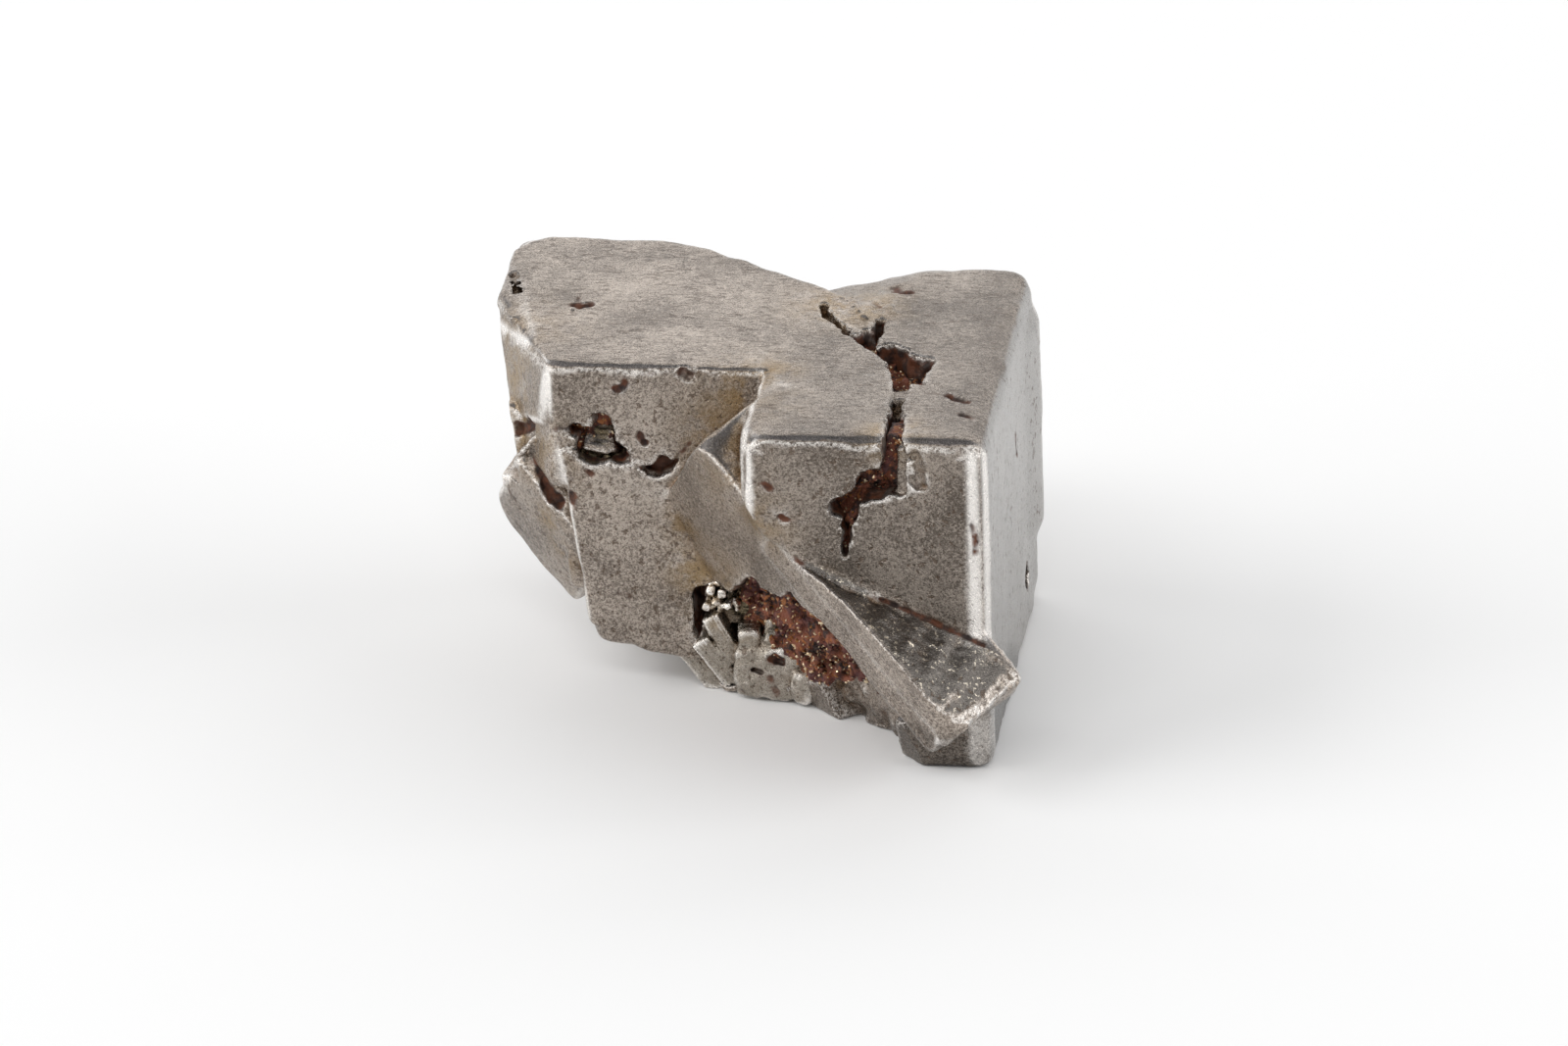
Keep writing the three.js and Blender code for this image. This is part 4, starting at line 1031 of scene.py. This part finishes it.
# how worn each one is, the distance between its grooves, how deep they are, the axis that they
# follow each other along (0, 1 or 2), and its faces
SMALL_CRYSTALS = [
    # the big worn cube, the round crystal on its corner and the low one at its right
    plain_crystal(0.14, (-6.9, -4.72), (3.35, 6), (0.02, 1.62), (0, 2, -4)),
    plain_crystal(0.07, (-6.88, -6.25), (3.5, 5.6), (0.9, 2.1), (6, -4, 5)),
    plain_crystal(0.09, (-5.4, -4.72), (3.1, 4.4), (0.1, 1.05), (3, 5, -8)),
    plain_crystal(0.05, (-5.15, -4.75), (3.2, 4.6), (0.8, 1.45), (8, 12, 10)),
    # the grooved bowl behind it and the dark grooved pocket at its left
    (0.05, 0.10, 0.02, 1,
     crystal_faces((-6.2, -5.15), (3.6, 5.6), (1.1, 2.15), turn=(-20, 10, 4))),
    (0.05, 0.11, 0.02, 0, crystal_faces((-7.0, -6.3), (4.1, 6.2), (1.9, 2.9), turn=(-10, 18, 8))),
    # the grooved wedges and the lath that lean against the cube
    (0.04, 0.10, 0.02, 0,
     crystal_faces((-7.36, -6.86), (3.75, 6.6), (0.9, 2.35), turn=(0, -30, -6))),
    (0.03, 0.12, 0.02, 0,
     crystal_faces((-7.62, -7.1), (3.85, 6.6), (0.3, 1.75), turn=(4, -36, -4))),
    (0.05, 0.12, 0.016, 0, crystal_faces((-8.3, -7.0), (4.2, 7.8), (-0.1, 1.5), turn=(0, -38, 4))),
    (0.04, 0.09, 0.02, 1, crystal_faces((-7.3, -6.2), (4.3, 6.4), (1.6, 3.05), turn=(-12, 14, 6))),
    # the bright blade, the bead in its socket and the blade at the right of it
    plain_crystal(0.035, (-4.38, -4.22), (2.0, 4.2), (0.1, 1.85), (0, 4, 0)),
    plain_crystal(0.03, (-4.3, -4.1), (2.1, 4.2), (1.7, 1.95), (0, -12, 0)),
    plain_crystal(0.035, (-3.78, -3.62), (1.7, 3.6), (1.0, 1.9), (0, -26, 8)),
    plain_crystal(0.03, (-3.72, -3.4), (1.7, 3.6), (1.0, 1.3), (4, -30, 8)),
    # the stepped plates below them
    plain_crystal(0.03, (-4.3, -3.55), (1.75, 3.6), (0.93, 1.07), (-4, 3, 10)),
    plain_crystal(0.03, (-4.2, -3.3), (1.7, 3.6), (0.72, 0.88), (3, 8, 4)),
    plain_crystal(0.03, (-4.25, -3.45), (1.66, 3.6), (0.48, 0.70), (-3, 4, 12)),
    plain_crystal(0.04, (-4.3, -3.3), (1.75, 3.6), (0.24, 0.46), (0, -6, 8)),
    plain_crystal(0.05, (-4.36, -3.9), (1.8, 3.6), (0.0, 0.34), (0, 8, 4)),
    plain_crystal(0.05, (-4.0, -3.1), (1.5, 3.4), (0.03, 0.35), (2, 3, 16)),
    # the dark rough metal between the plates and the foot, with its black hole
    plain_crystal(0.06, (-3.75, -2.75), (1.45, 3.2), (0.3, 1.45), (-6, 6, 18)),
    plain_crystal(0.06, (-3.2, -2.3), (0.95, 2.8), (0.06, 0.75), (0, 6, 16)),
    plain_crystal(0.04, (-2.95, -2.6), (1.3, 3.0), (1.35, 1.62), (10, 25, 14)),
    plain_crystal(0.05, (-2.9, -2.0), (0.95, 3.0), (1.12, 1.5), (0, 24, 12)),
    # bright steps along the under side of the slab
    plain_crystal(0.03, (-2.62, -2.3), (0.85, 2.4), (0.66, 0.86), (6, 14, 10)),
    plain_crystal(0.03, (-2.5, -2.16), (0.78, 2.4), (0.48, 0.66), (-4, 18, 12)),
    plain_crystal(0.03, (-2.34, -2.02), (0.68, 2.4), (0.52, 0.74), (5, 22, 8)),
    plain_crystal(0.03, (-2.3, -1.95), (0.62, 2.4), (0.3, 0.5), (0, 12, 14)),
    plain_crystal(0.03, (-2.15, -1.8), (0.5, 2.4), (0.42, 0.62), (8, 20, 10)),
    plain_crystal(0.06, (-2.6, -1.9), (0.9, 2.6), (0.04, 0.34), (0, 3, 12)),
    plain_crystal(0.05, (-2.25, -1.85), (0.3, 2.2), (0.0, 0.26), (0, 10, 6)),
]
# the rough mass that they all stand in
SMALL_CRYSTALS += [
    plain_crystal(0.12, (-4.45, -3.3), (2.15, 4.2), (-0.1, 1.15), (4, 8, 14)),
    plain_crystal(0.12, (-3.5, -2.4), (1.55, 3.6), (-0.1, 1.35), (-4, 14, 18)),
    plain_crystal(0.10, (-2.7, -1.8), (0.95, 2.8), (-0.1, 0.75), (0, 10, 14)),
]
# crumbs of metal in the gap at the foot of the slab, and a bed of little cubes along the rim
CRUMB_COUNT, BED_COUNT = 30, 90
draw = np.random.default_rng(23)
for _ in range(CRUMB_COUNT):
    size = draw.uniform(0.05, 0.13, 3)
    at = np.array((-7.25, 3.95, 2.7)) + draw.uniform(-1, 1, 3) * (0.38, 0.25, 0.4)
    ends = [(-size[n], size[n] * (3 if n == 1 else 1)) for n in range(3)]
    SMALL_CRYSTALS.append(plain_crystal(0.02, *ends, draw.uniform(-40, 40, 3), at))
for _ in range(BED_COUNT):
    size = draw.uniform(0.06, 0.19, 3)
    at = on_slab(draw.uniform(1.15, 3.6), draw.uniform(6.4, 9.0), draw.uniform(-0.8, -0.42))
    ends = [(-size[n], size[n] * (2.5 if n == 1 else 1)) for n in range(3)]
    turn = draw.uniform(-16, 16, 3) + (0, 8, 10)
    SMALL_CRYSTALS.append(plain_crystal(0.025, *ends, turn, at))
for number, (wear, spacing, depth, along, (faces, low, high)) in enumerate(SMALL_CRYSTALS):
    cells, places = small.near(low, high, ANY_DISTANCE)
    body = inside_faces(faces, places, np.float32(wear))
    body += 0.3 * wear * lumps(places, 0.3, 80 + number)
    if spacing:
        across = places @ faces[2 * along][0].astype(np.float32)
        body += depth * np.sin(across * (2 * math.pi / spacing) + 2 * lumps(places, 0.6, 7))
    small.field[cells] = np.minimum(small.field[cells], body)

# pits, gaps and black holes between them: half of the width, how rusty it is, and its points
SMALL_MARKS = [
    (0.14, 1.0, [(-5.85, 3.35, 1.28), (-5.7, 3.4, 1.22)]),
    (0.09, 1.0, [(-5.98, 3.3, 0.75), (-5.85, 3.3, 0.45), (-5.8, 3.3, 0.2)]),
    (0.10, 1.0, [(-5.95, 3.9, 1.75), (-5.8, 4.0, 1.55), (-5.7, 3.8, 1.5)]),
    (0.06, 0.9, [(-6.45, 3.5, 0.95), (-6.2, 3.4, 0.9)]),
    (0.09, 1.0, [(-4.62, 2.9, 1.5), (-4.6, 2.9, 0.6), (-4.55, 2.6, 0.1)]),
    (0.04, 1.0, [(-4.25, 1.72, 0.95), (-3.8, 1.62, 0.9), (-3.4, 1.6, 0.95)]),
    (0.035, 1.0, [(-4.2, 1.7, 0.7), (-3.7, 1.62, 0.72), (-3.35, 1.6, 0.66)]),
    (0.035, 1.0, [(-4.2, 1.72, 0.47), (-3.7, 1.64, 0.44)]),
    (0.05, 1.0, [(-3.95, 1.6, 0.35), (-3.85, 1.6, 0.15)]),
    (0.13, 1.0, [(-2.6, 1.0, 1.0), (-2.3, 0.9, 1.02)]),
    (0.05, 1.0, [(-2.62, 0.85, 0.5), (-2.58, 0.85, 0.2)]),
]
for width, rusty, line in SMALL_MARKS:
    reach = width + 0.25
    low, high = np.min(line, axis=0) - reach, np.max(line, axis=0) + reach
    cells, places = small.near(low, high, ANY_DISTANCE)
    away = np.min([rod_distance(places, a, b, width) for a, b in zip(line, line[1:])], axis=0)
    away = away + min(width, 0.1) * 0.6 * lumps(places, 0.15, 61)
    small.field[cells] = np.maximum(small.field[cells], -away)
    small.rust[cells] = np.minimum(small.rust[cells], away + 0.05 * (1 - rusty))
cells, places = small.near(SMALL_LOW, SMALL_HIGH, 0.1)
small.field[cells] += 0.012 * lumps(places, 0.4, 4) + 0.008 * lumps(places, 0.12, 5)
heights = SMALL_LOW[2] + SMALL_STEP * np.arange(small.shape[2])
small.field = np.maximum(small.field, (0.01 - heights).astype(np.float32))


def close_ends(field, away):
    """Sets a field's outermost points to a distance outside the surface, so that it closes."""
    for axis in range(3):
        for end in (0, -1):
            edge = [slice(None)] * 3
            edge[axis] = end
            field[tuple(edge)] = away


close_ends(small.field, BAND * SMALL_STEP)
small.field = blurred(np.clip(small.field, -0.3, 0.3), 0.5)
# the same metal painted lighter than the large crystals', to make up for the shade under the slab:
# painted light
bright_metal = metal_material("bright_platinum_metal", (0.27, 0.235, 0.195), (0.52, 0.47, 0.41),
                              (0.42, 0.28, 0.12), (0.97, 0.93, 0.88), small=True)
SMALL_TRIANGLES = 150000
small_crystals, places, outward = finished_metal(
    small, "small_crystals", SMALL_TRIANGLES, 0.12 / SMALL_STEP)
# those at the right and at the foot of the slab are painted with near-white gleams, painted
# highlights, beside dark brown patches
gleam_patches = np.maximum(ramp(places[:, 0], -4.75, -4.35), ramp(places[:, 2], 2.1, 2.4))
store(small_crystals.data, "gleam_patches", gleam_patches)
small_crystals.data.materials.clear()
small_crystals.data.materials.append(bright_metal)
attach(small_crystals, "root")
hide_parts("crystal_cluster")

# Iron oxide in the hollows
# Reddish brown iron oxide that fills the bottoms of the hollows, in rough lumps and with a dull
# earthy surface. It grew in place, so it has no fixing.
OXIDE_STEP = 0.04
OXIDE_BAND = 0.3
oxide = bpy.data.materials.new("iron_oxide")
oxide.use_nodes = True
tree = oxide.node_tree
shader = tree.nodes["Principled BSDF"]
plain = millimetres(tree)
clods = noise_node(tree, plain, 2.4, 4, 0.7)
crumbs = noise_node(tree, plain, 9.0, 3, 0.7)
colour = colour_mix(tree, step_node(tree, clods, 0.40, 0.58), (0.022, 0.008, 0.006),
                    (0.22, 0.066, 0.032))
purple = step_node(tree, noise_node(tree, plain, 1.3, 3, 0.6), 0.52, 0.6)
colour = colour_mix(tree, times(tree, purple, 0.6), colour, (0.115, 0.04, 0.042))
orange = step_node(tree, noise_node(tree, plain, 4.2, 3, 0.65), 0.56, 0.66)
colour = colour_mix(tree, times(tree, orange, 0.8), colour, (0.42, 0.15, 0.04))
pale = step_node(tree, crumbs, 0.62, 0.7)
colour = colour_mix(tree, times(tree, pale, 0.5), colour, (0.5, 0.3, 0.18))
tree.links.new(colour, shader.inputs["Base Color"])
tree.links.new(step_node(tree, crumbs, 0.35, 0.65, 0.45, 0.9), shader.inputs["Roughness"])
bump = node(tree, "ShaderNodeBump", {"Height": crumbs, "Strength": 0.9, "Distance": 0.00012})
tree.links.new(bump.outputs["Normal"], shader.inputs["Normal"])

for seed, name in enumerate(("front_crack", "top_hollow", "under_slab", "left_hollow")):
    hollow = HOLLOWS[name]
    low, high = hollow_box(hollow, 0.4)
    low = np.round(low / OXIDE_STEP) * OXIDE_STEP
    shape = np.ceil((high - low) / OXIDE_STEP).astype(int) + 1
    ticks = [low[n] + OXIDE_STEP * np.arange(shape[n]) for n in range(3)]
    places = np.stack(np.meshgrid(*ticks, indexing="ij"), axis=-1).astype(np.float32)
    deep = hollow_places(hollow, places)[2]
    swell = 0.34 * lumps(places, 0.6, 31 + seed) + 0.2 * lumps(places, 0.24, 41 + seed)
    swell += 0.09 * lumps(places, 0.1, 51 + seed)
    body = np.maximum(hollow_distance(hollow, places) - 0.04, hollow["fill"] + swell - deep)
    body = np.maximum(body, places[..., 2] - TOP + 0.2)
    body = np.maximum(body, 0.06 - places[..., 2]).astype(np.float32)
    body = np.clip(body, -OXIDE_BAND, OXIDE_BAND)
    close_ends(body, OXIDE_BAND)
    points, quads = surface_of(body, low, OXIDE_STEP)
    mesh = bpy.data.meshes.new("oxide_" + name)
    mesh.from_pydata(to_part(points), [], quads)
    mesh.polygons.foreach_set("use_smooth", np.ones(len(quads), bool))
    without_specks(mesh)
    mesh.materials.append(oxide)
    piece = bpy.data.objects.new("rust_in_" + name, mesh)
    bpy.context.scene.collection.objects.link(piece)
    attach(piece, "root")
    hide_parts("oxide_" + name)

# Grains on the iron oxide
# Sharp little grains of the metal and of golden brown ore that stick in the oxide of the hollows,
# strewn at random. They are held by the oxide round them.
GRAIN_KINDS = [
    # the oxide they lie on, how many there are to a square metre, their size, and the seed
    ("under_slab", 2.2e7, 0.00005, 3),
    ("top_hollow", 2.6e7, 0.000045, 4),
    ("left_hollow", 2.2e7, 0.000045, 5),
    ("front_crack", 1.6e7, 0.00004, 6),
]
grain_metal = bpy.data.materials.new("golden_grains")
grain_metal.use_nodes = True
tree = grain_metal.node_tree
shader = tree.nodes["Principled BSDF"]
kinds = noise_node(tree, millimetres(tree), 5.0, 2, 0.6)
colour = colour_mix(tree, step_node(tree, kinds, 0.42, 0.58), (0.30, 0.12, 0.03),
                    (0.85, 0.70, 0.48))
tree.links.new(colour, shader.inputs["Base Color"])
tree.links.new(step_node(tree, kinds, 0.4, 0.6, 0.2, 0.9), shader.inputs["Metallic"])
tree.links.new(step_node(tree, kinds, 0.3, 0.7, 0.22, 0.4), shader.inputs["Roughness"])

ANY_TURN = (6.28, 6.28, 6.28)
strewn = bpy.data.node_groups.new("strewn_grains", "GeometryNodeTree")
for name, kind in (("Surface", "Geometry"), ("Density", "Float"), ("Size", "Float"),
                   ("Seed", "Int"), ("Material", "Material")):
    strewn.interface.new_socket(name, in_out="INPUT", socket_type="NodeSocket" + kind)
strewn.interface.new_socket("Grains", in_out="OUTPUT", socket_type="NodeSocketGeometry")
given = node(strewn, "NodeGroupInput").outputs
spread_points = node(strewn, "GeometryNodeDistributePointsOnFaces",
                     {"Mesh": given["Surface"], "Density": given["Density"], "Seed": given["Seed"]})
grain = node(strewn, "GeometryNodeMeshIcoSphere", {"Radius": given["Size"], "Subdivisions": 1})
turns = node(strewn, "FunctionNodeRandomValue",
             {"Min": (0, 0, 0), "Max": ANY_TURN, "Seed": given["Seed"]},
             data_type="FLOAT_VECTOR")
sizes = node(strewn, "FunctionNodeRandomValue",
             {"Min": (0.4, 0.4, 0.3), "Max": (1.5, 1.3, 1.0), "Seed": given["Seed"]},
             data_type="FLOAT_VECTOR")
placed_grains = node(strewn, "GeometryNodeInstanceOnPoints",
                     {"Points": spread_points.outputs["Points"], "Instance": grain.outputs["Mesh"],
                      "Rotation": turns.outputs["Value"], "Scale": sizes.outputs["Value"]})
real = node(strewn, "GeometryNodeRealizeInstances",
            {"Geometry": placed_grains.outputs["Instances"]})
coloured = node(strewn, "GeometryNodeSetMaterial",
                {"Geometry": real.outputs["Geometry"], "Material": given["Material"]})
node(strewn, "NodeGroupOutput", {"Grains": coloured.outputs["Geometry"]})
sockets = {item.name: item.identifier for item in strewn.interface.items_tree}
for name, density, size, seed in GRAIN_KINDS:
    surface = bpy.data.objects["rust_in_" + name]
    piece = bpy.data.objects.new("grains_in_" + name, surface.data.copy())
    bpy.context.scene.collection.objects.link(piece)
    strewing = piece.modifiers.new("grains", "NODES")
    strewing.node_group = strewn
    strewing[sockets["Density"]] = density
    strewing[sockets["Size"]] = size
    strewing[sockets["Seed"]] = seed
    strewing[sockets["Material"]] = grain_metal
    shown = piece.evaluated_get(bpy.context.evaluated_depsgraph_get())
    grains = bpy.data.meshes.new_from_object(shown)
    piece.modifiers.clear()
    piece.data = grains
    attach(piece, "root")
    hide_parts("oxide_" + name)
